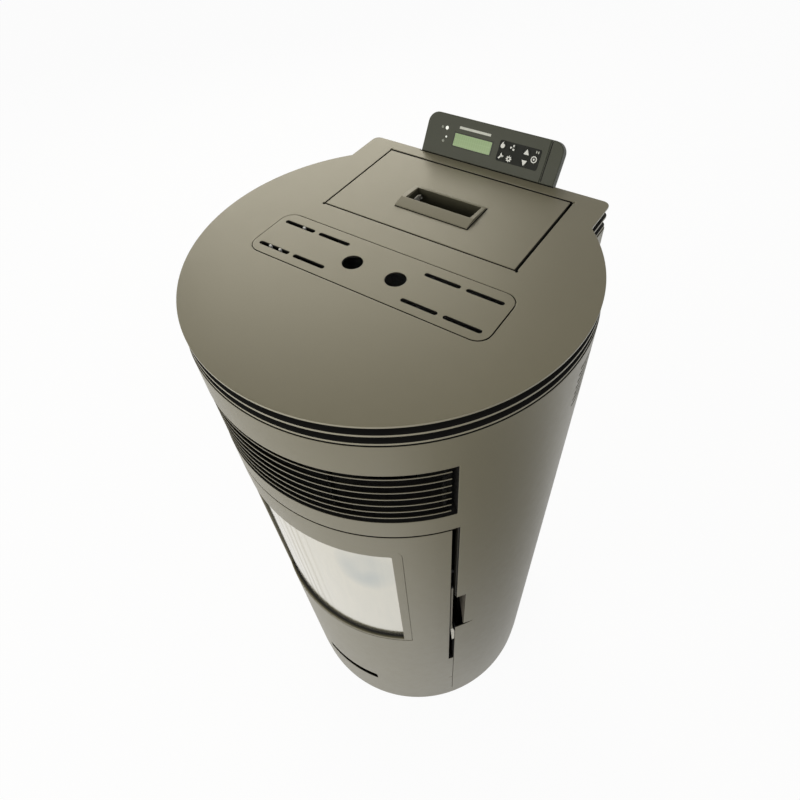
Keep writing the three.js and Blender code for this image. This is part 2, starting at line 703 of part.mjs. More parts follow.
const panX = [-ashPanHalfWidth, ashPanHalfWidth];
const panY = [14.5 - Math.sqrt((fireboxFront - fireboxFrontWall) ** 2 - ashPanHalfWidth ** 2), -22];
const panZ = [fireboxFloor + fireboxWall, fireboxFloor + fireboxWall + ashPanHeight];
addPiece('ash_pan', joined(
  cut(block(panX, panY, panZ),
    block(grown(panX, -sheet), grown(panY, -sheet), [panZ[0] + sheet, panZ[1] + 5])),
  cut(block([-30, 30], [panY[0] - 14, panY[0] + 0.5], [panZ[1] - 8, panZ[1] - 6]),
    block([-22, 22], [panY[0] - 10, panY[0] - 3], [panZ[1] - 12, panZ[1]]))), galvanised);

addPiece('igniter', joined(
  rod([0, potRear + 4 + fit, igniterZ], [0, 34, igniterZ], 5, 16),
  rod([0, fireboxBack + fit, igniterZ], [0, fireboxBack + fit + 3, igniterZ], 14, 24)), plainSteel);

// ---------------------------------------------------------------- hopper and auger
const augerWay = new THREE.Vector3(0, -Math.cos(radians(augerTilt)), Math.sin(radians(augerTilt)));
const augerPoint = (along) => [0, augerFootY + augerWay.y * along, augerFootZ + augerWay.z * along];
const augerRod = (from, to, radius, sides) => rod(augerPoint(from), augerPoint(to), radius, sides);

function hopperShell(inset) {
  const side = [
    [hopperFront + inset, hopperRim + inset * 5], [hopperFront + inset, hopperShoulder],
    [throatFront + inset, throatBottom + 70], [throatFront + inset, throatBottom - inset * 5],
    [throatRear - inset, throatBottom - inset * 5], [throatRear - inset, throatBottom + 70],
    [hopperRear - inset, hopperShoulder], [hopperRear - inset, hopperRim + inset * 5],
  ];
  const half = [
    [hopperHalfWidth - inset, hopperRim + inset * 5], [hopperHalfWidth - inset, hopperShoulder],
    [throatHalfWidth - inset, throatBottom + 70], [throatHalfWidth - inset, throatBottom - inset * 5],
  ];
  const front = [...half, ...half.map(([x, z]) => [-x, z]).reverse()];
  return sideProfile(side, [-200, 200]).intersect(frontProfile(front, [0, 260]));
}
const hopperInside = hopperShell(hopperWall);
const hingeTabX = [lugX + fit, lugX + 4];
const augerClearance = augerRod(-60, augerLength + 20, augerTubeRadius + fit, 32);
addPiece('hopper', cut(joined(
  hopperShell(0),
  mirroredBlocks([hopperHalfWidth - 1, hopperHalfWidth + 26], [hopperFront + 5, hopperRear - 5],
    [upperFinTop, upperFinTop + 2]),
  mirroredBlocks(hingeTabX, [hopperRear - 0.5, lidAxisY + 3.5], [lidAxisZ - 4.5, hopperRim - fit]),
  mirroredBlocks(hingeTabX, [lidAxisY - 5, lidAxisY + 3.5], [lidAxisZ - 4.5, lidAxisZ + 3.5])),
hopperInside, augerClearance,
rod([-130, lidAxisY, lidAxisZ], [130, lidAxisY, lidAxisZ], lidRodRadius + fit, 16)), galvanised);

const guardX = hopperHalfWidth - hopperWall - fit;
const guardY = [hopperFront + hopperWall + fit, hopperRear - hopperWall - fit];
const guardLevel = hopperRim - 55;
const guardBars = [-99, -66, -33, 0, 33, 66, 99].map((x) => block([x - 1.5, x + 1.5], guardY,
  [guardLevel + 1, guardLevel + 4]));
addPiece('hopper_guard', joined(
  cut(block([-guardX, guardX], guardY, [guardLevel, guardLevel + 5]),
    block([6 - guardX, guardX - 6], grown(guardY, -6), [guardLevel - 5, guardLevel + 10])),
  ...guardBars), plainSteel);

addPiece('lid_gasket', plate(
  roundedRectangle([-hopperHalfWidth - 2, hopperHalfWidth + 2], [hopperFront - 2, hopperRear + 2], 4, 3),
  [hopperRim, lidUnder - fit],
  [roundedRectangle([3 - hopperHalfWidth, hopperHalfWidth - 3], [hopperFront + 3, hopperRear - 3], 3, 3)]),
rope);

const chuteOuter = sideProfile([[chute.rearY, chute.rearLow], [chute.rearY, chute.rearHigh],
  [chute.frontY, chute.frontHigh], [chute.frontY, chute.frontLow]],
[-chute.halfWidth, chute.halfWidth]);
const chuteInner = sideProfile([[chute.rearY - 4, chute.rearLow + 3], [chute.rearY - 4, chute.rearHigh - 6],
  [chute.frontY - 5, chute.frontHigh - 6], [chute.frontY - 5, chute.frontLow]],
[chute.wall - chute.halfWidth, chute.halfWidth - chute.wall]);
const augerBore = augerRod(-1, augerLength - 4, augerTubeRadius - augerTubeWall, 32);
addPiece('auger_tube', cut(joined(
  augerRod(0, augerLength, augerTubeRadius, 32), chuteOuter),
augerBore, chuteInner,
block([2 - throatHalfWidth, throatHalfWidth - 2], [throatFront + 4, throatRear - 6],
  [throatBottom, throatBottom + 80])), blackSteel);

// The screw: a round shaft with one flight wound on it.
function augerFlight(from, to) {
  const stepsPerTurn = 10;
  const steps = augerTurns * stepsPerTurn;
  const positions = [];
  const index = [];
  for (let i = 0; i <= steps; i++) {
    const angle = (2 * Math.PI * i) / stepsPerTurn;
    const height = from + ((to - from) * i) / steps;
    for (const [radius, lift] of [[augerShaftRadius - 1, 0], [augerScrewRadius, 0],
      [augerScrewRadius, augerBladeThickness], [augerShaftRadius - 1, augerBladeThickness]]) {
      positions.push(radius * Math.cos(angle), height + lift, -radius * Math.sin(angle));
    }
  }
  const quad = (a, b, c, d) => index.push(a, b, c, a, c, d);
  quad(0, 1, 2, 3);
  for (let i = 0; i < steps; i++) {
    const [here, next] = [4 * i, 4 * i + 4];
    for (let side = 0; side < 4; side++) {
      const other = (side + 1) % 4;
      quad(here + other, here + side, next + side, next + other);
    }
  }
  const last = 4 * steps;
  quad(last + 3, last + 2, last + 1, last);
  const geometry = new THREE.BufferGeometry();
  geometry.setAttribute('position', new THREE.Float32BufferAttribute(positions, 3));
  geometry.setIndex(index);
  geometry.applyQuaternion(new THREE.Quaternion().setFromUnitVectors(
    new THREE.Vector3(0, 1, 0), augerWay));
  geometry.translate(...augerPoint(0));
  return solid(geometry);
}
addPiece('auger_screw', joined(
  augerRod(-14, augerLength - 5, augerShaftRadius, 16),
  augerFlight(4, augerLength - 12)), plainSteel);
addPiece('auger_motor', cut(joined(
  augerRod(-5 - fit, -fit, augerTubeRadius + 2, 24),
  augerRod(-40, -5, 24, 24), augerRod(-72, -39, 20, 24)),
augerRod(-16, 5, augerShaftRadius + fit, 16)), blackSteel);

// ---------------------------------------------------------------- smoke path
const portZ = smokePort.z;
const ductRear = fanY + 32;
const ductRight = flueX - fanHalfWidth - fit;
const smokeInlet = rod([ductRight - 10, fanY, fanZ], [ductRight + 10, fanY, fanZ], 26, 24);
addPiece('smoke_duct', cut(joined(
  block(smokePort.x, [fireboxBack + fit, ductRear], portZ),
  block([smokePort.x[0], ductRight], [fanY - 32, ductRear], [fanZ - 32, portZ[1]])),
block(grown(smokePort.x, -sheet), [fireboxBack - 5, ductRear - sheet], grown(portZ, -sheet)),
block([smokePort.x[0] + sheet, ductRight - sheet], [fanY - 32 + sheet, ductRear - sheet],
  [fanZ - 32 + sheet, portZ[1] - sheet]),
smokeInlet), blackSteel);

const fanX = [flueX - fanHalfWidth, flueX + fanHalfWidth];
const drum = (x, y, z, radius, [x0, x1]) => rod([x0, y, z], [x1, y, z], radius, 40);
const outletY = [fanY, backReach - 27.3];
const outletZ = [fanZ + 12, fanZ + fanRadius];
addPiece('exhaust_housing', cut(joined(
  drum(0, fanY, fanZ, fanRadius, fanX),
  block(fanX, outletY, outletZ),
  block(grown(fanX, -8), [fanY - 25, fanY + 25], [basePlateTop, fanZ - fanRadius + 8])),
drum(0, fanY, fanZ, fanRadius - sheet, grown(fanX, -sheet)),
block(grown(fanX, -sheet), [fanY, outletY[1] + 10], grown(outletZ, -sheet)),
rod([fanX[0] - 5, fanY, fanZ], [fanX[0] + 5, fanY, fanZ], 26, 24),
rod([fanX[1] - 5, fanY, fanZ], [fanX[1] + 5, fanY, fanZ], 7, 16)), galvanised);

// A wheel of straight blades on a disc, open on the other side.
function wheel([openX, discX], [y, z], radius, hub, bladeCount, bladeInner) {
  const width = Math.abs(discX - openX);
  const middle = (discX + openX) / 2;
  const blades = Array.from({ length: bladeCount }, (_, i) => {
    const geometry = new THREE.BoxGeometry(width, 1.6, radius - bladeInner);
    geometry.translate(middle, 0, (radius + bladeInner) / 2);
    geometry.rotateX((2 * Math.PI * i) / bladeCount);
    geometry.translate(0, y, z);
    return solid(geometry);
  });
  const disc = rod([discX, y, z], [discX + 2 * Math.sign(openX - discX), y, z], radius, 32);
  return joined(disc, rod([middle, y, z], [discX, y, z], hub, 16), ...blades);
}
addPiece('exhaust_impeller', joined(
  wheel(grown(fanX, -8), [fanY, fanZ], fanRadius - 14, 9, 6, 8),
  rod([fanX[1] - 12, fanY, fanZ], [fanX[1] + 12, fanY, fanZ], 4, 16)), plainSteel);
addPiece('exhaust_motor', cut(joined(
  rod([fanX[1] + fit, fanY, fanZ], [fanX[1] + 4, fanY, fanZ], 34, 24),
  rod([fanX[1] + 3, fanY, fanZ], [fanX[1] + 58, fanY, fanZ], 30, 24)),
rod([fanX[1], fanY, fanZ], [fanX[1] + 14, fanY, fanZ], 4 + fit, 16)), blackSteel);

const rearFace = backReach + fit + 1.5;
const flueEnd = rearFace + flueReach;
addPiece('flue_spigot', cut(joined(
  block([flueX - 46, flueX + 46], [outletY[1] + fit, outletY[1] + fit + 3], [flueZ - 46, flueZ + 46]),
  rod([flueX, outletY[1] + fit, flueZ], [flueX, flueEnd, flueZ], flueRadius, 32)),
rod([flueX, 150, flueZ], [flueX, 400, flueZ], flueRadius - flueWall, 32)), blackSteel);

addPiece('intake_pipe', cut(
  rod([intakeX, fireboxBack + fit, intakeZ], [intakeX, flueEnd - 8, intakeZ], intakeRadius, 24),
  rod([intakeX, -40, intakeZ], [intakeX, 400, intakeZ], intakeRadius - 2, 24)), plainSteel);

// ---------------------------------------------------------------- room air blower
const drumX = [blowerX - blowerHalfWidth, blowerX + blowerHalfWidth];
const risingY = [blowerY + 12, blowerY + blowerRadius];
addPiece('blower_housing', cut(joined(
  drum(0, blowerY, blowerZ, blowerRadius, drumX),
  block(drumX, risingY, [blowerZ, 275]),
  block(grown(drumX, -14), [blowerY - 30, blowerY + 30], [basePlateTop, blowerZ - blowerRadius + 8])),
drum(0, blowerY, blowerZ, blowerRadius - sheet, grown(drumX, -sheet)),
block(grown(drumX, -sheet), grown(risingY, -sheet), [blowerZ, 280]),
rod([drumX[1] - 5, blowerY, blowerZ], [drumX[1] + 5, blowerY, blowerZ], 42, 28),
rod([drumX[0] - 5, blowerY, blowerZ], [drumX[0] + 5, blowerY, blowerZ], 7, 16)), galvanised);

addPiece('blower_wheel', joined(
  wheel([drumX[1] - 8, drumX[0] + 8], [blowerY, blowerZ], blowerRadius - 12, 10, 10, 46),
  rod([drumX[0] + 12, blowerY, blowerZ], [drumX[0] - 12, blowerY, blowerZ], 4, 16)), blackSteel);
addPiece('blower_motor', cut(joined(
  rod([drumX[0] - fit, blowerY, blowerZ], [drumX[0] - 4, blowerY, blowerZ], 32, 24),
  rod([drumX[0] - 3, blowerY, blowerZ], [drumX[0] - 38, blowerY, blowerZ], 28, 24)),
rod([drumX[0], blowerY, blowerZ], [drumX[0] - 14, blowerY, blowerZ], 4 + fit, 16)), blackSteel);

// ---------------------------------------------------------------- electrics
const controlX = [-145, -65];
const controlZ = [560, 690];
const controlFront = hopperRear + 2;
const terminalY = [controlFront - 10, controlFront + 1];
const terminalZ = [controlZ[0] + 20, controlZ[0] + 40];
addPiece('control_box', joined(
  block(controlX, [controlFront, backReach + fit], controlZ),
  block([controlX[0] + 10, controlX[0] + 28], terminalY, terminalZ),
  block([controlX[1] - 40, controlX[1] - 22], terminalY, terminalZ)), darkPlastic);

const rockerX = -112;
const rockerZ = (socketZ[0] + socketZ[1]) / 2;
const rockerPivotY = rearFace + 1;
addPiece('power_socket', cut(joined(
  block(socketX, [rearFace, rearFace + 2], socketZ),
  block(grown(socketX, -2), [rearFace - 28, rearFace + 1], grown(socketZ, -2))),
block([-145, -123], [rearFace - 14, rearFace + 5], [rockerZ - 8, rockerZ + 8]),
block([rockerX - 7, rockerX + 7], [rearFace - 12, rearFace + 5], [rockerZ - 10.5, rockerZ + 10.5])),
darkPlastic);

const rockerTilt = 7;
const rockerShape = new THREE.ExtrudeGeometry(new THREE.Shape([[-8.6, -4], [0, -6.5], [8.6, -4],
  [8.6, 1.2], [0, 2.6], [-8.6, 1.2]].map(([z, y]) => new THREE.Vector2(y, z))),
{ depth: 13.4, bevelEnabled: false });
rockerShape.translate(0, 0, -6.7);
rockerShape.applyMatrix4(new THREE.Matrix4().makeBasis(
  new THREE.Vector3(0, 1, 0), new THREE.Vector3(0, 0, 1), new THREE.Vector3(1, 0, 0)));
rockerShape.rotateX(radians(rockerTilt));
rockerShape.translate(rockerX, rockerPivotY, rockerZ);
addPiece('rocker_switch', joined(solid(rockerShape)), keyPlastic);

// ---------------------------------------------------------------- console
const consolePlace = new THREE.Matrix4().makeRotationX(radians(90 - consoleLean))
  .setPosition(0, backReach - 2.3, topHeight);
// Drawn on the console's face: x to the right, y up the slope, z out of the face.
function onConsole(points, [deep, proud]) {
  const geometry = new THREE.ExtrudeGeometry(shapeOf(points),
    { depth: proud - deep, bevelEnabled: false });
  geometry.translate(0, 0, deep);
  geometry.applyMatrix4(consolePlace);
  return solid(geometry);
}
function consoleOutline(inset) {
  const [x0, x1, top] = [consoleLeft + inset, consoleRight - inset, consoleHeight - inset];
  const round = (x, start) => [0, 1, 2, 3, 4, 5].map((step) => {
    const radius = consoleCorner - inset;
    const angle = radians(start + 18 * step);
    return new THREE.Vector2(x + radius * Math.cos(angle), top - radius + radius * Math.sin(angle));
  });
  return [new THREE.Vector2(x0, inset), new THREE.Vector2(x1, inset),
    ...round(x1 - consoleCorner + inset, 0), ...round(x0 + consoleCorner - inset, 90)];
}
const facePatch = ([x0, x1], [y0, y1]) => asPath([[x0, y0], [x1, y0], [x1, y1], [x0, y1]]);
const faceThickness = 3;
const keyHoles = Object.values(keys).map(([x, y]) => onConsole(circle(x, y, keyRadius + fit, 16),
  [-faceThickness - 1, 1]));
const displayPatch = (grow) => facePatch([displayLeft - grow, displayRight + grow],
  [displayLow - grow, displayHigh + grow]);
const tongueY = [rearFace + fit, rearFace + fit + 2];
addPiece('console_case', cut(joined(
  cut(onConsole(consoleOutline(0), [-consoleDepth, 0]),
    onConsole(consoleOutline(consoleWall), [consoleWall - consoleDepth, -faceThickness])),
  block([-60, 60], tongueY, [topHeight - 90, topHeight - 1])),
onConsole(facePatch([consoleStep, consoleRight + 5], [2.5, consoleHeight + 5]), [-1.5, 5]),
onConsole(displayPatch(0), [-1.2, 5]),
onConsole(facePatch([-30, 30], [20, 34]), [-consoleDepth - 3, -faceThickness - 2]),
...keyHoles), darkPlastic);

addPiece('display_window', onConsole(displayPatch(-fit), [-1.2 + fit, 0.2]), display);
for (const [name, [x, y]] of Object.entries(keys)) {
  addPiece(name, joined(onConsole(circle(x, y, keyRadius, 16), [-faceThickness - 1, 0.8]),
    onConsole(circle(x, y, keyRadius + 1.2, 12), [-faceThickness - 1.5, -faceThickness - fit])), keyPlastic);
}

// ---------------------------------------------------------------- door
const doorLeft = -doorHalfAngle + degreesAlong(doorLeftSeam);
const doorBottom = casingBottom + doorBottomSeam;
const doorTop = doorOpeningTop - doorTopSeam;
const handleAngle = slotAngle - degreesAlong(slotWidth - doorRightSeam - 3.6);

// The opening for the bezel, with its two upper corners rounded.
function bezelBlank(grow, radii) {
  const halfAngle = bezelHalfAngle + degreesAlong(grow);
  const radius = bezelCorner + grow;
  const top = bezelTop + grow;
  const whole = sector(radii, [-halfAngle, halfAngle], [bezelBottom - grow, top]);
  const corners = [-1, 1].map((side) => {
    const turn = side * (halfAngle - degreesAlong(radius));
    const reach = [-radii[1] - 10, -radii[0] + 10];
    const wide = side > 0 ? [0, radius + 5] : [-radius - 5, 0];
    const round = [reach[0] - 1, reach[1] + 1].map((y) => [0, y, top - radius]);
    return block(wide, reach, [top - radius, top + 5], turn).subtract(rod(...round, radius, 32, turn));
  });
  return cut(whole, ...corners);
}
addPiece('door_skin', cut(
  sector([casingInner, casingRadius], [doorLeft, slotAngle], [doorBottom, doorTop]),
  sector(through, [doorHalfAngle - degreesAlong(slotWidth), doorHalfAngle + 2], [slotBottom, doorTop + 5]),
  bezelBlank(0, through),
  sector(through, [-airSlotHalfAngle, airSlotHalfAngle], airSlotLevels),
  sector(through, [slotAngle - 1.9, slotAngle + 1], [138, 139.2])), paintedSteel);

const clearWindow = (radii, shrink = 0) => sector(radii,
  [-windowHalfAngle + shrink, windowHalfAngle - shrink], [windowBottom, windowTop]);
addPiece('window_bezel', cut(joined(
  bezelBlank(-fit, [casingInner - 0.4, casingRadius - 0.5]),
  sector([glassRadius + fit, casingInner], [-windowHalfAngle - 0.5, windowHalfAngle + 0.5],
    [windowBottom - 2, windowTop + 2])),
clearWindow(through)), paintedSteel);

const glassHalfAngle = windowHalfAngle + degreesAlong(glassOverlap);
const glassLevels = [windowBottom - 1 + 10, windowTop + glassOverlap];
addPiece('window_glass', sector([glassRadius - glassThickness, glassRadius],
  [-glassHalfAngle, glassHalfAngle], [glassLevels[0], glassLevels[1]]), ceramicGlass);
const gasketOuter = glassRadius - glassThickness - fit;
addPiece('glass_gasket', cut(
  sector([gasketOuter - gasketThickness, gasketOuter],
    [-glassHalfAngle, glassHalfAngle], glassLevels),
  sector(through, [-windowHalfAngle + 0.5, windowHalfAngle - 0.5],
    [glassLevels[0] + 7, windowTop - 3])), rope);

const handleAxisZ = 614;
const handleAxisRadius = casingRadius - 11;
const rimOuter = casingInner - fit;
const sleeveReach = casingRadius * radians(-frameHalfAngle - hingeAngle) + 2;
const bossReach = casingRadius * radians(handleAngle - frameHalfAngle) + 3;
const sleeves = Object.values(hingeLevels).map((level) => joined(
  rod([0, -hingeRadius, level + collarHeight + fit], [0, -hingeRadius, level + sleeveHeight],
    sleeveRadius, 16, hingeAngle),
  block([0, sleeveReach], [-hingeRadius - 1, -hingeRadius + 4],
    [level + collarHeight + fit, level + sleeveHeight], hingeAngle)));
const pinBores = Object.values(hingeLevels).map((level) => rod([0, -hingeRadius, level - 5],
  [0, -hingeRadius, level + 50], hingePinRadius + fit, 16, hingeAngle));
const handleBoss = block([-bossReach, -5], [-handleAxisRadius - 7, -handleAxisRadius + 7],
  [handleAxisZ - 9, handleAxisZ + 9], handleAngle);
addPiece('door_frame', cut(joined(
  cut(sector([doorFrameRadii[0], rimOuter], [-frameHalfAngle, frameHalfAngle], [frameBottom, frameTop]),
    sector([doorFrameRadii[1], casingRadius + 5], [-frameHalfAngle + 0.5, frameHalfAngle - 0.5],
      [frameBottom + 2, frameTop - 2])),
  ...sleeves, handleBoss),
sector([fireboxFront, casingInner - 5], [-windowHalfAngle + 1.5, windowHalfAngle - 1.5],
  [glassLevels[0] + 12, windowTop - 5]),
...pinBores,
rod([-20, -handleAxisRadius, handleAxisZ], [10, -handleAxisRadius, handleAxisZ], 4 + fit, 16, handleAngle)),
blackSteel);

addPiece('door_seal', cut(
  sector([sealInner, sealOuter], [-mouthHalfAngle - 3, mouthHalfAngle + 3],
    [mouthBottom - 12, mouthTop + 11]),
  sector([sealInner - 20, sealOuter + 20], [-mouthHalfAngle - 0.3, mouthHalfAngle + 0.3],
    [mouthBottom - 1, mouthTop + 1])), rope);

const gripLow = 455;
const gripHigh = handleAxisZ + 12;
const gripFace = -casingRadius + 2.5;
const pullTab = [[-1.5, gripLow + 15], [1.5, gripLow + 15], [5, gripLow - 23],
  [5, gripLow - 69], [1.4, gripLow - 71], [-1.5, gripLow - 15]];
addPiece('door_handle', joined(
  block([-1.5, 1.5], [gripFace, gripFace + 10.5], [gripLow, gripHigh], handleAngle),
  frontProfile(pullTab, [gripFace, gripFace + 3], handleAngle),
  block([-1.5, 1.5], [gripFace + 8.5, gripFace + 25.5], [handleAxisZ + 4, handleAxisZ + 18], handleAngle),
  rod([-13, -handleAxisRadius, handleAxisZ], [1, -handleAxisRadius, handleAxisZ], 4, 16, handleAngle)),
plainSteel);

// ---------------------------------------------------------------- the object's own frame
// The origin is the middle of the object's footprint box, on the floor.
const reach = new THREE.Box3().setFromObject(stove);
stove.position.y = -(reach.min.y + reach.max.y) / 2;
stove.position.x = -(reach.min.x + reach.max.x) / 2;

export default stove;
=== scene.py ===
import bmesh
import bpy
import math
from mathutils import Matrix, Vector


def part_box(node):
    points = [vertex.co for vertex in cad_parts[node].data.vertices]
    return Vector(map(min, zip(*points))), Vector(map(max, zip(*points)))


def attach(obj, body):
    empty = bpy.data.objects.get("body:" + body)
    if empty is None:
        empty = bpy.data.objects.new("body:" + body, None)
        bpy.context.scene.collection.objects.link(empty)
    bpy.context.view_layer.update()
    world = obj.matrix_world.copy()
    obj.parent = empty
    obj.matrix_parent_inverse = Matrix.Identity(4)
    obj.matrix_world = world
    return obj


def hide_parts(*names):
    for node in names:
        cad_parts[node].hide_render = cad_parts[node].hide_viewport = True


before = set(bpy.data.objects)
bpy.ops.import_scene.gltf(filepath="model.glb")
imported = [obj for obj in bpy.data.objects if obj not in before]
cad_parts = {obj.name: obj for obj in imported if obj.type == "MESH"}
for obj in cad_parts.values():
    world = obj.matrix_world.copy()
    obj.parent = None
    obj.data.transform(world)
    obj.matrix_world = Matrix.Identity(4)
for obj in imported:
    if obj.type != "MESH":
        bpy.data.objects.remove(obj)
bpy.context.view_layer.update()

# ---- Plinth and base pan -------------------------------------------------------------------
# The stove stands on a welded pan: a flat sheet-steel floor inside a rim that shows as the
# plinth under the casing. It is enamelled in the same matt warm taupe as the casing.
PLATE_RADIUS = 250.0
BAY_HALF_WIDTH = 182.8
BAY_CORNER = 10.0
REAR_REACH = 232.3
AXIS_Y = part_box("fin_plate_lower")[0].y * 1000 + PLATE_RADIUS
ARC_STEP = 1.5
SHARP_ANGLE = 50
PLINTH_LOW, PLINTH_HEIGHT = 6, 38
PAN_LOW, PAN_SHEET = 12, 3
STUD_HOLE = 5.3


class Wire:
    """A shader socket that takes plain arithmetic."""

    def __init__(self, owner, socket):
        self.owner = owner
        self.socket = socket

    def maths(self, operation, *values):
        return self.owner.node("ShaderNodeMath", {"operation": operation}, values)

    def __add__(self, other):
        return self.maths("ADD", self, other)

    def __radd__(self, other):
        return self.maths("ADD", other, self)

    def __sub__(self, other):
        return self.maths("SUBTRACT", self, other)

    def __rsub__(self, other):
        return self.maths("SUBTRACT", other, self)

    def __mul__(self, other):
        return self.maths("MULTIPLY", self, other)

    def __rmul__(self, other):
        return self.maths("MULTIPLY", other, self)

    def __pow__(self, other):
        return self.maths("POWER", self, other)

    def clamped(self):
        return self.owner.node("ShaderNodeClamp", {}, [self])


class Nodes:
    """The nodes of a material or of the world, and the shader that they feed."""

    def __init__(self, tree, shader):
        self.tree = tree
        self.shader = tree.nodes[shader]

    def node(self, kind, settings=None, values=(), output=0):
        made = self.tree.nodes.new(kind)
        for key, value in (settings or {}).items():
            setattr(made, key, value)
        pairs = values.items() if isinstance(values, dict) else enumerate(values)
        for socket, value in pairs:
            if isinstance(value, Wire):
                self.tree.links.new(value.socket, made.inputs[socket])
            else:
                made.inputs[socket].default_value = value
        return Wire(self, made.outputs[output])

    def feed(self, socket, wire):
        self.tree.links.new(wire.socket, self.shader.inputs[socket])


class Finish(Nodes):
    """One material, built node by node round a Principled shader."""

    def __init__(self, name, **fixed):
        self.material = bpy.data.materials.new(name)
        self.material.use_nodes = True
        super().__init__(self.material.node_tree, "Principled BSDF")
        for socket, value in fixed.items():
            self.shader.inputs[socket.replace("_", " ")].default_value = value

    def place(self, scale=(1, 1, 1), turn=(0, 0, 0)):
        here = self.node("ShaderNodeTexCoord", output="Object")
        return self.node("ShaderNodeMapping", {}, {"Vector": here, "Scale": scale, "Rotation": turn})

    def noise(self, scale, detail=3.0, rough=0.55, stretch=(1, 1, 1)):
        return self.node("ShaderNodeTexNoise", {}, {
            "Vector": self.place(stretch), "Scale": scale, "Detail": detail, "Roughness": rough})

    def blend(self, amount, one, other):
        return self.node("ShaderNodeMix", {"data_type": "RGBA"},
                         {0: amount, 6: one, 7: other}, output=2)

    def bump(self, height, depth, strength):
        made = self.node("ShaderNodeBump", {}, {
            "Strength": strength, "Distance": depth, "Height": height})
        self.feed("Normal", made)


def toned(colour, factor):
    return (*(channel * factor for channel in colour), 1.0)


def enamel(name, colour, rough):
    """Stove enamel: matt, finely grained, a little uneven in tone and gloss."""
    finish = Finish(name, Metallic=0.0, Specular_IOR_Level=0.6)
    cloud = finish.noise(5.0, 4.0)
    dust = finish.noise(60.0, 5.0, 0.65)
    grain = finish.noise(1500.0, 2.0)
    tone = cloud * 0.75 + dust * 0.25
    finish.feed("Base Color", finish.blend(tone, toned(colour, 0.93), toned(colour, 1.06)))
    finish.feed("Roughness", (dust - 0.5) * 0.12 + (grain - 0.5) * 0.08 + rough)
    finish.bump(grain, 0.00006, 0.5)
    return finish.material


taupe = enamel("taupe_enamel", (0.212, 0.193, 0.128), 0.36)


def on_circle(radius, phi):
    turn = math.radians(phi)
    return radius * math.sin(turn), -radius * math.cos(turn)


def arc_points(radius, start, end):
    count = max(1, round(abs(end - start) / ARC_STEP))
    return [on_circle(radius, start + (end - start) * i / count) for i in range(count + 1)]


def corner(x, y, radius, start, steps=6):
    """A quarter circle of points round (x, y), from the angle start on."""
    turns = [math.radians(start + 90 * i / steps) for i in range(steps + 1)]
    return [(x + radius * math.cos(t), y + radius * math.sin(t)) for t in turns]


def plan(inset, back_inset=None):
    """The plates' outline: a circle with a straight-sided bay behind it."""
    radius = PLATE_RADIUS - inset
    x = BAY_HALF_WIDTH - inset
    y = REAR_REACH - (inset if back_inset is None else back_inset)
    bend = max(BAY_CORNER - inset, 1.0)
    joint = 180 - math.degrees(math.asin(x / radius))
    right = corner(x - bend, y - bend, bend, 0)
    return arc_points(radius, -joint, joint) + right + [(-px, py) for px, py in reversed(right)]


def placed(name, data):
    """A new object in the scene."""
    made = bpy.data.objects.new(name, data)
    bpy.context.scene.collection.objects.link(made)
    return made


def mesh_of(name, bm):
    mesh = bpy.data.meshes.new(name)
    bm.to_mesh(mesh)
    bm.free()
    return mesh


def evaluated(holder, *helpers):
    """The shape of an object after its modifiers. The object and its helpers are removed."""
    result = bpy.data.meshes.new_from_object(
        holder.evaluated_get(bpy.context.evaluated_depsgraph_get()))
    bm = bmesh.new()
    bm.from_mesh(result)
    bpy.data.meshes.remove(result)
    for leftover in (holder, *helpers):
        bpy.data.objects.remove(leftover)
    return bm


def cut_sheet(loops, thickness, edge, low=0.0, rounds=2):
    """A flat sheet with holes and softened edges, from closed outlines; its lower face at low."""
    curve = bpy.data.curves.new("outline", "CURVE")
    curve.dimensions = "2D"
    curve.fill_mode = "BOTH"
    curve.extrude = thickness / 2 - edge
    curve.bevel_depth = edge
    curve.bevel_resolution = rounds - 1
    curve.offset = -edge
    for loop in loops:
        spline = curve.splines.new("POLY")
        spline.points.add(len(loop) - 1)
        for point, (x, y) in zip(spline.points, loop):
            point.co = (x, y, 0, 1)
        spline.use_cyclic_u = True
    bm = evaluated(placed("outline", curve))
    bpy.data.curves.remove(curve)
    bmesh.ops.remove_doubles(bm, verts=bm.verts, dist=0.001)
    bmesh.ops.translate(bm, verts=bm.verts, vec=(0, 0, low + thickness / 2))
    return bm


def merged(*parts):
    whole = bmesh.new()
    for part in parts:
        loose = mesh_of("part", part)
        whole.from_mesh(loose)
        bpy.data.meshes.remove(loose)
    return whole


def piece(name, bm, paints, body, slot, *nodes, where=None):
    """Puts a mesh drawn in millimetres round the casing's axis into the scene, on its body.
    Paints is one material or several, and the function where(middle, normal) then gives the
    number of the one that a face takes."""
    bmesh.ops.recalc_face_normals(bm, faces=bm.faces)
    if where:
        for face in bm.faces:
            face.material_index = int(where(face.calc_center_median(), face.normal))
    to_frame = Matrix.Translation((0, AXIS_Y / 1000, 0)) @ Matrix.Scale(0.001, 4)
    bmesh.ops.transform(bm, matrix=to_frame, verts=bm.verts)
    mesh = mesh_of(name, bm)
    mesh.shade_smooth()
    mesh.set_sharp_from_angle(angle=math.radians(SHARP_ANGLE))
    for paint in paints if isinstance(paints, tuple) else (paints,):
        mesh.materials.append(paint)
    made = placed(name, mesh)
    level = made.modifiers.new("level_normals", "WEIGHTED_NORMAL")
    level.keep_sharp = True
    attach(made, body)
    if nodes:
        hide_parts(*nodes)


def ring_points(x, y, radius, sides=24):
    turns = [2 * math.pi * i / sides for i in range(sides)]
    return [(x + radius * math.cos(t), y + radius * math.sin(t)) for t in turns]


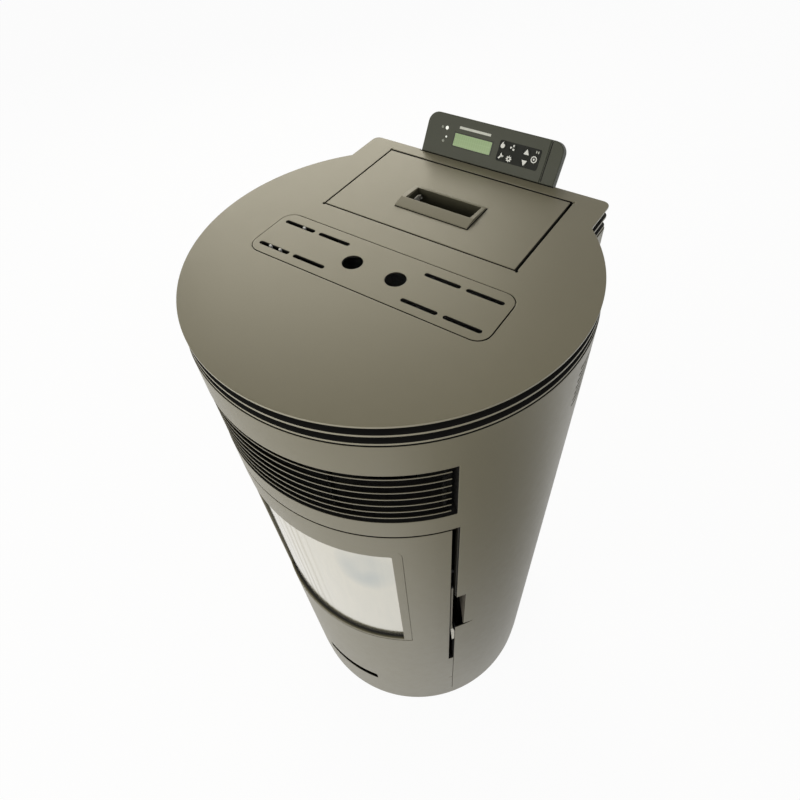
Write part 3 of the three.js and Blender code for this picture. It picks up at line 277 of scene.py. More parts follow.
FOOT_SPOTS = {"foot_front_left": (-125, -150), "foot_front_right": (125, -150),
              "foot_rear_left": (-135, 190), "foot_rear_right": (135, 190)}
foot_holes = [ring_points(x, y, STUD_HOLE) for x, y in FOOT_SPOTS.values()]
piece("plinth_pan", merged(
    cut_sheet([plan(0), plan(2)], PLINTH_HEIGHT, 0.4, PLINTH_LOW),
    cut_sheet([plan(1.5), *foot_holes], PAN_SHEET, 0.3, PAN_LOW)),
    taupe, "stove", "casing_paint", "base_pan")

# ---- Levelling feet ------------------------------------------------------------------------
# Four screw feet: a moulded black pad, a round lock nut and a threaded stud that goes up
# through the pan. They lift the plinth a few millimetres off the floor.


def turned(profile, sides, low_z=0.0):
    """A closed profile of (radius, height) turned round a vertical line through the origin."""
    bm = bmesh.new()
    rings = []
    for radius, height in profile:
        spots = ring_points(0, 0, radius, sides) if radius > 1e-6 else [(0, 0)]
        rings.append([bm.verts.new((x, y, height + low_z)) for x, y in spots])
    for one, other in zip(rings, rings[1:]):
        for i in range(sides):
            j = (i + 1) % sides
            corners = [one[i % len(one)], one[j % len(one)],
                       other[j % len(other)], other[i % len(other)]]
            unique = list(dict.fromkeys(corners))
            if len(unique) > 2:
                bm.faces.new(unique)
    return bm


def aimed(bm, start, way):
    """Turns a piece drawn up the Z axis to point along way, from start."""
    turn = Vector(way).to_track_quat("Z", "Y").to_matrix().to_4x4()
    bmesh.ops.transform(bm, matrix=Matrix.Translation(start) @ turn, verts=bm.verts)
    return bm


def moulded(name, colour, rough, grain_depth=0.00004, metal=0.0):
    """Moulded or painted small parts: even colour with a fine texture."""
    finish = Finish(name, Metallic=metal)
    grain = finish.noise(2200.0, 2.0)
    wear = finish.noise(90.0, 4.0)
    finish.feed("Base Color", finish.blend(wear, toned(colour, 0.85), toned(colour, 1.15)))
    finish.feed("Roughness", (wear - 0.5) * 0.2 + rough)
    finish.bump(grain, grain_depth, 0.6)
    return finish.material


black_steel = moulded("black_steel", (0.016, 0.015, 0.014), 0.55, 0.00005)
# Flat black for gaps, slot walls, undersides and backing sheets: painted shade.
shade = moulded("black_shade_paint", (0.0075, 0.007, 0.006), 0.8)
THREADS, THREAD_PITCH, THREAD_START = 8, 2, 12.4
foot_profile = [(0, 0), (20.5, 0), (22, 1.5), (22, 4.2), (20, 6.4), (14, 7), (9.2, 7), (9.2, 11.4),
                (8.4, 12), (5, 12)]
for thread in range(THREADS):
    crest = THREAD_START + THREAD_PITCH * thread
    foot_profile += [(5.0, crest), (4.3, crest + THREAD_PITCH / 2)]
foot_profile += [(3.6, 28), (0, 28)]
for name, (x, y) in FOOT_SPOTS.items():
    foot = turned(foot_profile, 24)
    bmesh.ops.translate(foot, verts=foot.verts, vec=(x, y, 0))
    piece(name + "_screw", foot, black_steel, "stove", "black_steel", name)

# ---- Wrapped casing ------------------------------------------------------------------------
# One sheet of 2 mm steel rolled round the front and folded along the sides of the hopper's
# bay. The door opening, the air outlet and the finger notch are cut before it is bent.
CASING_RADIUS = 251.0
CASING_LOW, CASING_TOP = 44.3, 1014.0
BAY_RETURN = 24.0
BAY_START = 150.0
DOOR_EDGE = 51.5
DOOR_TOP = 821.8
NOTCH_TOP, NOTCH_LOW = 589.0, 450.7
NOTCH_REACH, NOTCH_TAIL = 15.0, 33.0
OUTLET_EDGE = 50.5
OUTLET_LOW, OUTLET_TOP = 858, 961
SIDE_SLOT_START, SIDE_SLOT_END, SIDE_SLOT_HALF = 91, 116, 2.2
SIDE_SLOT_LEVELS = range(922, 999, 11)
CASING_SHEET = 2


def along(phi):
    """The length along the casing's sheet from the front to an angle in degrees."""
    return math.radians(phi) * CASING_RADIUS


def turn_of(length):
    """The angle in degrees that a length along the casing's sheet takes up."""
    return math.degrees(length / CASING_RADIUS)


def bay_path():
    """The right half of the casing's plan as corner points, with the distance from the front."""
    x = BAY_HALF_WIDTH + CASING_RADIUS - PLATE_RADIUS
    joint = 180 - math.degrees(math.asin(x / CASING_RADIUS))
    points = arc_points(CASING_RADIUS, 0, joint)
    points += corner(x - BAY_CORNER, REAR_REACH - BAY_CORNER, BAY_CORNER, 0)
    points.append((x - BAY_RETURN, REAR_REACH))
    travel = [0.0]
    for one, other in zip(points, points[1:]):
        travel.append(travel[-1] + math.dist(one, other))
    return points, travel


def creased(bm, x):
    """Divides a flat sheet's faces along an upright line, so that it can bend there."""
    bmesh.ops.bisect_plane(bm, geom=[*bm.verts, *bm.edges, *bm.faces], dist=1e-4,
                           plane_co=(x, 0, 0), plane_no=(1, 0, 0))


def folded(loops, thickness, edge):
    """A sheet, drawn as distance from the front and height, folded round the casing's plan."""
    bm = cut_sheet(loops, thickness, edge)
    points, travel = bay_path()
    for distance in travel[1:-1]:
        creased(bm, distance)
        creased(bm, -distance)
    creased(bm, 0)
    normals = []
    for one, other in zip(points, points[1:]):
        way = Vector((other[0] - one[0], other[1] - one[1])).normalized()
        normals.append(Vector((way.y, -way.x)))
    corner_normals = [Vector((0, -1))]
    for one, other in zip(normals, normals[1:]):
        mid = (one + other).normalized()
        corner_normals.append(mid / max(mid.dot(one), 0.5))
    corner_normals.append(normals[-1])
    for vert in bm.verts:
        side = -1 if vert.co.x < 0 else 1
        distance = min(abs(vert.co.x), travel[-1] - 1e-6)
        index = max(i for i in range(len(travel) - 1) if travel[i] <= distance + 1e-6)
        share = (distance - travel[index]) / (travel[index + 1] - travel[index])
        point = Vector(points[index]).lerp(Vector(points[index + 1]), share)
        normal = corner_normals[index].lerp(corner_normals[index + 1], share)
        place = point + normal * (vert.co.z - thickness)
        vert.co = (side * place.x, place.y, vert.co.y)
    return bm


def rolled(loops, thickness, outer_radius, edge=0.2, rounds=2):
    """A sheet bent round the casing's axis; its upper face becomes the outer face."""
    bm = cut_sheet(loops, thickness, edge, rounds=rounds)
    count = int(turn_of(max(abs(vert.co.x) for vert in bm.verts)) / ARC_STEP)
    for index in range(-count, count + 1):
        creased(bm, along(index * ARC_STEP))
    for vert in bm.verts:
        x, y = on_circle(outer_radius + vert.co.z - thickness, turn_of(vert.co.x))
        vert.co = (x, y, vert.co.y)
    return bm


def rectangle(x0, x1, y0, y1):
    return [(x0, y0), (x1, y0), (x1, y1), (x0, y1)]


def rounded(x0, x1, y0, y1, radius, steps=6, only_top=False):
    """A rectangle with round corners, or with only its upper ones round."""
    lower_right = corner(x1 - radius, y0 + radius, radius, -90, steps)
    upper_right = corner(x1 - radius, y1 - radius, radius, 0, steps)
    upper_left = corner(x0 + radius, y1 - radius, radius, 90, steps)
    lower_left = corner(x0 + radius, y0 + radius, radius, 180, steps)
    if only_top:
        lower_right, lower_left = [(x1, y0)], [(x0, y0)]
    return lower_right + upper_right + upper_left + lower_left


def within(radius):
    """Tells whether a face lies nearer to the casing's axis than radius."""
    return lambda middle, normal: math.hypot(middle.x, middle.y) < radius


def casing_paints(middle, normal):
    """The round part's cut edges and inside are painted black as painted shade."""
    return within(CASING_RADIUS - 0.4)(middle, normal) and middle.y < BAY_START


def beside(side, start, end):
    """Two angles as lengths along the sheet, on the right or mirrored to the left."""
    return sorted((side * along(start), side * along(end)))


half_wrap = bay_path()[1][-1]
door_side = along(DOOR_EDGE)
notch_side, notch_end = door_side + NOTCH_REACH, door_side + NOTCH_TAIL
casing_outline = [
    (half_wrap, CASING_LOW), (half_wrap, CASING_TOP), (-half_wrap, CASING_TOP),
    (-half_wrap, CASING_LOW), (-door_side, CASING_LOW), (-door_side, DOOR_TOP),
    (door_side, DOOR_TOP), (door_side, NOTCH_TOP), (notch_side - 0.5, NOTCH_TOP),
    (notch_side, NOTCH_TOP - 0.5), (notch_side, NOTCH_LOW + 6.8), (notch_end, NOTCH_LOW + 0.6),
    (notch_end, NOTCH_LOW), (door_side + 0.5, NOTCH_LOW), (door_side, NOTCH_LOW - 0.5),
    (door_side, CASING_LOW)]
outlet_window = rounded(along(-OUTLET_EDGE), along(OUTLET_EDGE), OUTLET_LOW, OUTLET_TOP, 1.5, 3)
side_slots = [rounded(*beside(side, SIDE_SLOT_START, SIDE_SLOT_END),
                      z - SIDE_SLOT_HALF, z + SIDE_SLOT_HALF, 2.1, 3)
              for side in (-1, 1) for z in SIDE_SLOT_LEVELS]
door_returns = [rolled([rectangle(door_side, door_side + 1.2, low, high)], 12, CASING_RADIUS - 0.8, 0.25)
                for low, high in ((277, 450), (590, DOOR_TOP))]
wrap = folded([casing_outline, outlet_window, *side_slots], CASING_SHEET, 0.35)
# Its inside and cut edges take painted shade through casing_paints.
piece("casing_sheet", merged(wrap, *door_returns),
      (taupe, shade), "stove", "casing_paint", "casing_wrap", where=casing_paints)
# The dark brown of the handle slot's edge wall is painted shade.
slot_wall_shade = moulded("slot_wall_shade", (0.030, 0.027, 0.017), 0.6)
wall = [rectangle(door_side - 1.7, door_side - 0.1, NOTCH_TOP, DOOR_TOP - 3.6)]
piece("slot_edge_wall", rolled(wall, 9, CASING_RADIUS - 3), slot_wall_shade, "stove", "casing_paint")
# Black sheets behind the side slots are painted shade, so the slots look dark inside.
for side, name in ((-1, "slot_shield_left"), (1, "slot_shield_right")):
    shade_backing = [rectangle(*beside(side, SIDE_SLOT_START - 2, SIDE_SLOT_END + 2), 912, 1006)]
    piece(name, rolled(shade_backing, 1, CASING_RADIUS - 6), shade, "stove", "black_steel")

# ---- Finger notch ---------------------------------------------------------------------------
# Beside the handle the casing is cut back, and a steel cheek is welded behind the cut's far
# edge. It is deep at the top and runs out towards the bottom. Its dark grey is painted shade.
shade_paint = moulded("grey_shade_paint", (0.135, 0.122, 0.098), 0.55)


def swept_x(profile, x0, x1):
    """A closed profile of (y, z) drawn out along X."""
    bm = bmesh.new()
    near = [bm.verts.new((x0, y, z)) for y, z in profile]
    far = [bm.verts.new((x1, y, z)) for y, z in profile]
    bm.faces.new(near)
    bm.faces.new(list(reversed(far)))
    for i in range(len(profile)):
        j = (i + 1) % len(profile)
        bm.faces.new((near[i], far[i], far[j], near[j]))
    bmesh.ops.recalc_face_normals(bm, faces=bm.faces)
    return bm


def turned_to(bm, phi):
    """Turns a piece drawn at the front of the casing round its axis."""
    bmesh.ops.rotate(bm, verts=bm.verts, cent=(0, 0, 0),
                     matrix=Matrix.Rotation(math.radians(phi), 3, "Z"))
    return bm


cheek_profile = [(-249.2, 591), (-214, 591), (-214, 585), (-244, 470), (-246, 452), (-249.2, 450)]
piece("notch_cheek", turned_to(swept_x(cheek_profile, 0.2, 1.4), DOOR_EDGE + turn_of(NOTCH_REACH)),
      shade_paint, "stove", "casing_paint")

# ---- Rear panel ----------------------------------------------------------------------------
# A flat removable panel closes the bay. It is held by pan-head screws, and the flue spigot,
# the air pipe and the mains inlet come out through it.
FLUE = (60.0, 230.0)
INTAKE = (-60.0, 340.0)
FLUE_HOLE, INTAKE_HOLE = 40.3, 25.3
INLET = (-148.3, -101.7, 71.7, 98.3)
PANEL = (-169.8, 169.8, 50.3, 1006.4)
REAR_FACE = REAR_REACH + 1.8


def upright(bm, face_y):
    """Stands a flat sheet, drawn as x and height, up so that its upper face looks to the rear."""
    for vert in bm.verts:
        vert.co = (vert.co.x, face_y + vert.co.z, vert.co.y)
    return bm


rear_loops = [rectangle(*PANEL), ring_points(*FLUE, FLUE_HOLE, 48),
              ring_points(*INTAKE, INTAKE_HOLE, 36), rectangle(*INLET)]
piece("rear_sheet", upright(cut_sheet(rear_loops, 1.5, 0.3), REAR_REACH + 0.3),
      taupe, "stove", "casing_paint", "rear_panel")

plain_steel = Finish("plain_steel", Metallic=1.0)
brushed = plain_steel.noise(40.0, 3.0, 0.6, (1, 1, 30))
plain_steel.feed("Base Color", plain_steel.blend(
    brushed, (0.42, 0.41, 0.39, 1), (0.60, 0.59, 0.56, 1)))
plain_steel.feed("Roughness", brushed * 0.25 + 0.22)
plain_steel.bump(brushed, 0.00003, 0.4)
plain_steel = plain_steel.material


def screw_head(radius=3.6, height=2.0):
    """A pan head and its cross recess, drawn up the Z axis from the seat."""
    head = turned([(0, 0), (radius, 0), (radius, height * 0.35), (radius * 0.8, height * 0.85),
                   (radius * 0.5, height), (0, height)], 16)
    arm, half = radius * 0.55, 0.4
    cross = merged(*[cut_sheet([rectangle(*box)], 0.25, 0.05, height - 0.1, 1)
                     for box in ((-arm, arm, -half, half), (-half, half, -arm, arm))])
    return head, cross


def instancing_tree(name, inputs, material):
    """A Geometry Nodes tree that sets a part on points, makes the copies real and paints them.
    What gives the points and the part is linked by the caller."""
    tree = bpy.data.node_groups.new(name, "GeometryNodeTree")
    new_socket = tree.interface.new_socket
    new_socket("Geometry", in_out="INPUT", socket_type="NodeSocketGeometry")
    sockets = {label: new_socket(label, in_out="INPUT", socket_type="NodeSocket" + kind).identifier
               for label, kind in inputs.items()}
    new_socket("Geometry", in_out="OUTPUT", socket_type="NodeSocketGeometry")
    start, stop, spread, real, paint = [tree.nodes.new(kind) for kind in (
        "NodeGroupInput", "NodeGroupOutput", "GeometryNodeInstanceOnPoints",
        "GeometryNodeRealizeInstances", "GeometryNodeSetMaterial")]
    paint.inputs["Material"].default_value = material
    tree.links.new(spread.outputs["Instances"], real.inputs["Geometry"])
    tree.links.new(real.outputs["Geometry"], paint.inputs["Geometry"])
    tree.links.new(paint.outputs["Geometry"], stop.inputs["Geometry"])
    return tree, sockets, start, spread


def run_tree(host, tree, values, *helpers):
    """What a tree makes of an object, with its inputs set by their identifiers."""
    modifier = host.modifiers.new(tree.name, "NODES")
    modifier.node_group = tree
    for identifier, value in values.items():
        modifier[identifier] = value
    return evaluated(host, *helpers)


def scattered(name, source, spots, material, body, slot):
    """Geometry Nodes set one small part on every point, turned to look to the rear."""
    points = bpy.data.meshes.new(name)
    points.from_pydata(spots, [], [])
    host = placed(name + "_points", points)
    part = placed(name + "_part", mesh_of(name + "_part", source))
    tree, sockets, start, spread = instancing_tree(
        name, {"Turn": "Rotation", "Size": "Float"}, material)
    info = tree.nodes.new("GeometryNodeObjectInfo")
    info.inputs["Object"].default_value = part
    tree.links.new(start.outputs["Geometry"], spread.inputs["Points"])
    tree.links.new(info.outputs["Geometry"], spread.inputs["Instance"])
    tree.links.new(start.outputs["Turn"], spread.inputs["Rotation"])
    tree.links.new(start.outputs["Size"], spread.inputs["Scale"])
    turn = Vector((0, 1, 0)).to_track_quat("Z", "Y").to_euler()
    piece(name, run_tree(host, tree, {sockets["Turn"]: turn, sockets["Size"]: 1.0}, part),
          material, body, slot)


head, cross = screw_head()
rear_spots = [(x, REAR_FACE, z) for x in (-161, 161) for z in (70, 250, 430, 610, 790, 985)]
rear_spots += [(x, REAR_FACE, z) for x in (-80, 80) for z in (60, 997)]
scattered("rear_screws", head, rear_spots, black_steel, "stove", "black_steel")
scattered("rear_screw_slots", cross, rear_spots, plain_steel, "stove", "bare_steel")
louvre = cut_sheet([rounded(-30, 30, -4, 4, 3.9, 5)], 2.2, 1.0, -0.2, 3)
louvre_spots = [(x, REAR_FACE, z) for x in (-60, 30, 110) for z in range(480, 661, 20)]
scattered("rear_louvres", louvre, louvre_spots, taupe, "stove", "casing_paint")

# ---- Stacked plates ------------------------------------------------------------------------
# Two flat sheet rings lie under the top with spacer collars between them, so the top looks
# like three leaves with shadow lines. The collars and the rings, all but their rims, are
# painted black as painted shade, and the rims take a paler enamel as a painted highlight.
TOP = 1046.0
LEAF = 3
LEAF_PITCH = 13.8
BAY_SIDE_START = 165
RIM_DEPTH = 1.2
leaf_hole = plan(34, 12)
collar_loops = [plan(14, 8), plan(17, 11)]


def at_rim(place):
    """Whether a place lies within a short distance of the plates' outer edge."""
    beside_bay = place.y > BAY_SIDE_START and abs(place.x) > BAY_HALF_WIDTH - RIM_DEPTH
    behind_bay = place.y > REAR_REACH - RIM_DEPTH
    return beside_bay or behind_bay or math.hypot(place.x, place.y) > PLATE_RADIUS - RIM_DEPTH


def leaf_paints(middle, normal):
    """Only the rim's edge of a lower leaf takes enamel, a paler one as a painted highlight. The rest is
    painted shade in black.
    """
    return abs(normal.z) > 0.9 or not at_rim(middle)


def repaint(finish, *names):
    """Gives solids of the frame that are shown as they are their real finish."""
    for name in names:
        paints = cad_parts[name].data.materials
        paints.clear()
        paints.append(finish)


# The paler enamel of the rims is a painted highlight.
rim_painted_highlight = enamel("rim_painted_highlight", (0.330, 0.308, 0.225), 0.33)
for name, face in (("fin_plate_lower", TOP - 2 * LEAF_PITCH), ("fin_plate_upper", TOP - LEAF_PITCH)):
    piece(name + "_leaf", cut_sheet([plan(0), leaf_hole], LEAF, 0.6, face - LEAF, 3),
          (rim_painted_highlight, shade), "stove", "casing_paint", name, where=leaf_paints)
# The spacer collars are painted shade in black.
piece("leaf_collars", merged(*[
    cut_sheet(collar_loops, LEAF_PITCH - LEAF, 0.2, TOP - leaves * LEAF_PITCH)
    for leaves in (2, 1)]), shade, "stove", "black_steel")
repaint(black_steel, "chassis_frame", "outlet_duct")

# ---- Top plate -----------------------------------------------------------------------------
# The uppermost leaf, laser-cut from 3 mm steel. It carries the lid's opening, with small
# relief cuts in the corners, and a rounded opening for the vent panel with a ledge under it.
LID_X, LID_FRONT, LID_REAR = 139.2, 54.5, 208.5
VENT = (-166.6, 166.6, -68.8, 14.0)
RELIEF_RADIUS = 2.2


def relieved(x0, x1, y0, y1):
    """A rectangle whose corners end in small round relief cuts."""
    points = []
    for x, y, start in ((x1, y0, 180), (x1, y1, 270), (x0, y1, 0), (x0, y0, 90)):
        for i in range(9):
            t = math.radians(start + 15 + 240 * i / 8)
            points.append((x + RELIEF_RADIUS * math.cos(t), y + RELIEF_RADIUS * math.sin(t)))
    return points


def grown(box, by):
    return box[0] - by, box[1] + by, box[2] - by, box[3] + by


def below_face(middle, normal):
    """The cut walls and the underside of a top sheet, which are painted black as painted shade."""
    return normal.z < 0.3 and middle.z < TOP - 0.7 and not at_rim(middle)


def top_paints(middle, normal):
    """The rim's edge takes the paler enamel of a painted highlight; the cut walls and the underside take
    painted shade.
    """
    return 2 if at_rim(middle) and normal.z < 0.9 else below_face(middle, normal)


lid_opening = relieved(-LID_X - 1.5, LID_X + 2.1, LID_FRONT - 1.6, LID_REAR + 3.0)
top_outline = plan(0)
console_notch = [(104.9, REAR_REACH), (104.9, 228.7), (-103.3, 228.7), (-103.3, REAR_REACH)]
last_right = max(i for i, (x, y) in enumerate(top_outline) if y > REAR_REACH - 0.01 and x > 0)
top_outline = top_outline[:last_right + 1] + console_notch + top_outline[last_right + 1:]
piece("top_leaf", merged(
    cut_sheet([top_outline, lid_opening, rounded(*grown(VENT, 1), 18)], LEAF, 0.6, TOP - LEAF, 3),
    cut_sheet([rounded(*grown(VENT, 9), 26), rounded(*grown(VENT, -9), 8)], 2.5, 0.3, TOP - 5.5)),
    (taupe, shade, rim_painted_highlight), "stove", "top_paint", "top_plate", where=top_paints)

# ---- Vent panel ----------------------------------------------------------------------------
# A lift-out plate in the top, with eight round-ended slots that let warm air rise and two
# finger holes to lift it by. Three stud ends in its left-hand slots are near white, painted glints.
SLOT_LENGTH, SLOT_SHIFT, SLOT_HALF = 47.5, -1.2, 3.0
FINGER_RADIUS, FINGER_X, FINGER_Y = 12.8, 31, -28.6
vent_loops = [rounded(VENT[0] - 0.6, VENT[1] - 0.6, VENT[2] + 0.3, VENT[3], 17)]
for y in (-3.5, -53.6):
    for x in (54.8, 109.6):
        for left in (x + SLOT_SHIFT, -x - SLOT_LENGTH + SLOT_SHIFT):
            vent_loops.append(rounded(left, left + SLOT_LENGTH, y - SLOT_HALF, y + SLOT_HALF, 2.99, 4))
vent_loops += [ring_points(x - 1.4, FINGER_Y, FINGER_RADIUS, 40) for x in (-FINGER_X, FINGER_X)]
piece("vent_leaf", cut_sheet(vent_loops, LEAF, 0.3, TOP - LEAF, 3), (taupe, shade),
      "stove", "top_paint", "vent_panel", where=below_face)
# The near white of the stud ends is a painted glint.
stud_glint_white = moulded("stud_glint_white", (0.95, 0.95, 0.92), 0.3)
studs = []
for x, y in ((-129.8, -1.9), (-142.7, -51.6), (-127.0, -51.9)):
    stud = turned([(0, 0), (2.0, 0), (2.0, 4.9), (1.5, 5.4), (0, 5.5)], 16, TOP - 6)
    bmesh.ops.translate(stud, verts=stud.verts, vec=(x, y, 0))
    studs.append(stud)
piece("vent_studs", merged(*studs), stud_glint_white, "stove", "bare_steel")

# ---- Hopper, guard and lid seal ------------------------------------------------------------
# The fuel bin is folded from galvanised sheet, with sloping sides down to the screw's throat.
# A welded wire guard keeps fingers out, and a strip of rope seals the lid.
galvanised = Finish("galvanised_sheet", Metallic=0.9)
spangle = galvanised.node("ShaderNodeTexVoronoi", {}, {
    "Vector": galvanised.place(), "Scale": 90.0}, output="Color")
spangle = galvanised.node("ShaderNodeSeparateColor", {}, [spangle])
galvanised.feed("Base Color", galvanised.blend(spangle, (0.40, 0.41, 0.42, 1), (0.56, 0.57, 0.58, 1)))
galvanised.feed("Roughness", spangle * 0.22 + 0.3)
galvanised = galvanised.material
repaint(galvanised, "hopper", "ash_pan", "exhaust_housing", "blower_housing")
repaint(plain_steel, "hopper_guard", "lid_hinge_rod", "auger_screw", "exhaust_impeller", "intake_pipe",
        "igniter", "door_hinge_pin_lower", "door_hinge_pin_upper")
repaint(black_steel, "auger_tube", "auger_motor", "smoke_duct", "exhaust_motor", "blower_wheel",
        "blower_motor")

rope = Finish("glass_rope", Roughness=0.95)
knit = rope.node("ShaderNodeTexWave", {"bands_direction": "DIAGONAL"}, {
    "Vector": rope.place(), "Scale": 260.0, "Distortion": 1.5, "Detail": 2.0}, output="Fac")
rope.feed("Base Color", rope.blend(knit, (0.012, 0.012, 0.011, 1), (0.045, 0.043, 0.040, 1)))
rope.bump(knit, 0.0006, 0.8)
rope = rope.material
repaint(rope, "lid_gasket", "glass_gasket", "door_seal")

# ---- Hopper lid ----------------------------------------------------------------------------
# A folded steel lid set flush in the top plate, hinged at the rear, with skirts on its front
# and sides. The pull is let into a hole in it.
PULL_X = (-49.0, 47.0)
PULL_Y = (111.3, 140.5)
lid_loops = [rounded(-LID_X, LID_X - 1.1, LID_FRONT, LID_REAR, 0.8, 2),
             rectangle(*grown((*PULL_X, *PULL_Y), 1.8))]
skirts = [(-LID_X, LID_X, LID_FRONT, LID_FRONT + 1.5), (-LID_X, -LID_X + 1.5, LID_FRONT + 1, 198),
          (LID_X - 2.6, LID_X - 1.1, LID_FRONT + 1, 198)]
# The lid's skirts, cut walls and underside take painted shade in black, through below_face.
piece("lid_sheet", merged(
    cut_sheet(lid_loops, LEAF, 0.6, TOP - LEAF, 3),
    *[cut_sheet([rectangle(*skirt)], 7.7, 0.2, TOP - 10.5) for skirt in skirts],
    *[cut_sheet([rectangle(x - 1.5, x + 1.5, 197, 207)], 7.2, 0.2, TOP - 10.0)
      for x in (-117.5, 117.5)]),
    (taupe, shade), "lid", "top_paint", "hopper_lid", where=below_face)

# ---- Lid pull ------------------------------------------------------------------------------
# A pressed surround with a broad front face that slopes up to a deep finger slot, and a
# folded pocket under it.


def carved(solid, tools=(), soft=0.5):
    """Cuts closed tools out of a closed solid and softens the edges that are left."""
    base, *cutters = [placed("block", mesh_of("block", bm)) for bm in (solid, *tools)]
    for cutter in cutters:
        cut = base.modifiers.new("cut", "BOOLEAN")
        cut.object = cutter
        cut.solver = "EXACT"
    if soft:
        round_off = base.modifiers.new("soft", "BEVEL")
        round_off.width = soft
        round_off.segments = 3
        round_off.limit_method = "ANGLE"
        round_off.angle_limit = math.radians(40)
    return evaluated(base, *cutters)


def block(x, y, z):
    return swept_x(rectangle(*y, *z), *x)


def pull_paints(middle, normal):
    """The pocket, the walls of the slot over it and the frame's foot take a darker paint as painted
    shade.
    """
    over_pocket = (PULL_X[0] - 0.1 < middle.x < PULL_X[1] + 0.1
                   and PULL_Y[0] - 0.1 < middle.y < PULL_Y[1] + 0.1 and middle.z < TOP + 2.6)
    return middle.z < TOP + 0.4 or over_pocket


# The pull's enamel is a shade darker than the casing's as painted shade, and its pocket paint is darker
# painted shade.
pull_paint = enamel("pull_painted_shade_enamel", (0.205, 0.188, 0.126), 0.38)
pocket_shade_paint = moulded("pocket_shade_paint", (0.062, 0.058, 0.034), 0.6)
pull_profile = [(94, 0.5), (94, 1.6), (95, 2.1), (110, 5.2), (112, 5.1), (141, 2.8),
                (145, 1.7), (145, 0.5)]
pull_top = carved(swept_x([(y, TOP + rise) for y, rise in pull_profile], -55.5, 52.5),
                  [block(PULL_X, PULL_Y, (TOP - 5, TOP + 20))])
pocket_walls = grown((*PULL_X, *PULL_Y), 1.5)
pocket = carved(block(pocket_walls[:2], pocket_walls[2:], (TOP - 24, TOP + 1)),
                [block(PULL_X, PULL_Y, (TOP - 22.5, TOP + 20))], 0.3)
piece("pull_frame", merged(pull_top, pocket), (pull_paint, pocket_shade_paint), "lid", "top_paint",
      "lid_handle", where=pull_paints)
# A thin black rim just under the pull's edges is a painted shadow.
piece("pull_seal", carved(block((-55.3, 53.6), (93.2, 145.3), (TOP + 0.02, TOP + 0.5)),
                          [block((-50, 48), (110.3, 141.5), (TOP - 1, TOP + 2))], 0),
      shade, "lid", "black_steel")
clip_grey = moulded("clip_grey", (0.42, 0.41, 0.36), 0.6)
piece("pull_clip", merged(
    block((-44.0, -42.2), (122, 134), (TOP - 11, TOP - 2)),
    block((-44.0, -38.4), (132, 134), (TOP - 3.6, TOP - 2)),
    block((-40.0, -38.4), (132, 134), (TOP - 7, TOP - 2))), clip_grey, "lid", "bare_steel")

# ---- Warm-air outlet -----------------------------------------------------------------------
# Thin curved fins, tilted down towards the inside, welded to upright ribs behind them. They
# stand in the casing's opening, in front of a black duct.
FINS, FIN_PITCH = 7, 14.0
fin_top = (OUTLET_TOP + OUTLET_LOW + (FINS - 1) * FIN_PITCH) / 2


def fin_tree():
    """One fin, as a profile carried along an arc, repeated downwards."""
    tree, sockets, start, spread = instancing_tree("fins", {"Count": "Int", "Pitch": "Float"}, taupe)
    line = tree.nodes.new("GeometryNodeMeshLine")
    down = tree.nodes.new("ShaderNodeCombineXYZ")
    minus = tree.nodes.new("ShaderNodeMath")
    minus.operation = "MULTIPLY"
    minus.inputs[1].default_value = -1.0
    for source, target in (
            (start.outputs["Count"], line.inputs["Count"]), (start.outputs["Pitch"], minus.inputs[0]),
            (minus.outputs[0], down.inputs["Z"]), (down.outputs[0], line.inputs["Offset"]),
            (line.outputs["Mesh"], spread.inputs["Points"]),
            (start.outputs["Geometry"], spread.inputs["Instance"])):
        tree.links.new(source, target)
    return tree, sockets


def swept_arc(profile, start, end, step=ARC_STEP):
    """A closed profile of (radius, height) carried round the casing's axis."""
    bm = bmesh.new()
    rings = []
    count = round(abs(end - start) / step)
    for i in range(count + 1):
        phi = start + (end - start) * i / count
        rings.append([bm.verts.new((*on_circle(r, phi), z)) for r, z in profile])
    for one, other in zip(rings, rings[1:]):
        for i in range(len(profile)):
            j = (i + 1) % len(profile)
            bm.faces.new((one[i], other[i], other[j], one[j]))
    bm.faces.new(rings[0])
    bm.faces.new(list(reversed(rings[-1])))
    bmesh.ops.recalc_face_normals(bm, faces=bm.faces)
    return bm


fin = swept_arc([(250.4, 0.3), (250.4, 1.8), (250.1, 2.0), (248.6, 0.6), (243.4, -8.0), (243.4, -10.0),
                 (248.6, -1.6), (250.1, 0)], -48.7, 48.7)
bmesh.ops.translate(fin, verts=fin.verts, vec=(0, 0, fin_top))
tree, sockets = fin_tree()
fins = run_tree(placed("fins", mesh_of("fin", fin)), tree,
                {sockets["Count"]: FINS, sockets["Pitch"]: FIN_PITCH})
rib_profile = [(239.2, 857), (239.2, 949), (229.6, 949), (229.6, 857)]
ribs = [swept_arc(rib_profile, phi - 0.25, phi + 0.25, 0.5) for phi in (-47.8, -16, 16, 47.8)]
# The fins' inner parts and the ribs behind them are painted black as painted shade.
piece("outlet_fins", merged(fins, *ribs), (taupe, shade), "stove", "casing_paint", "outlet_grille",
      where=within(248.8))

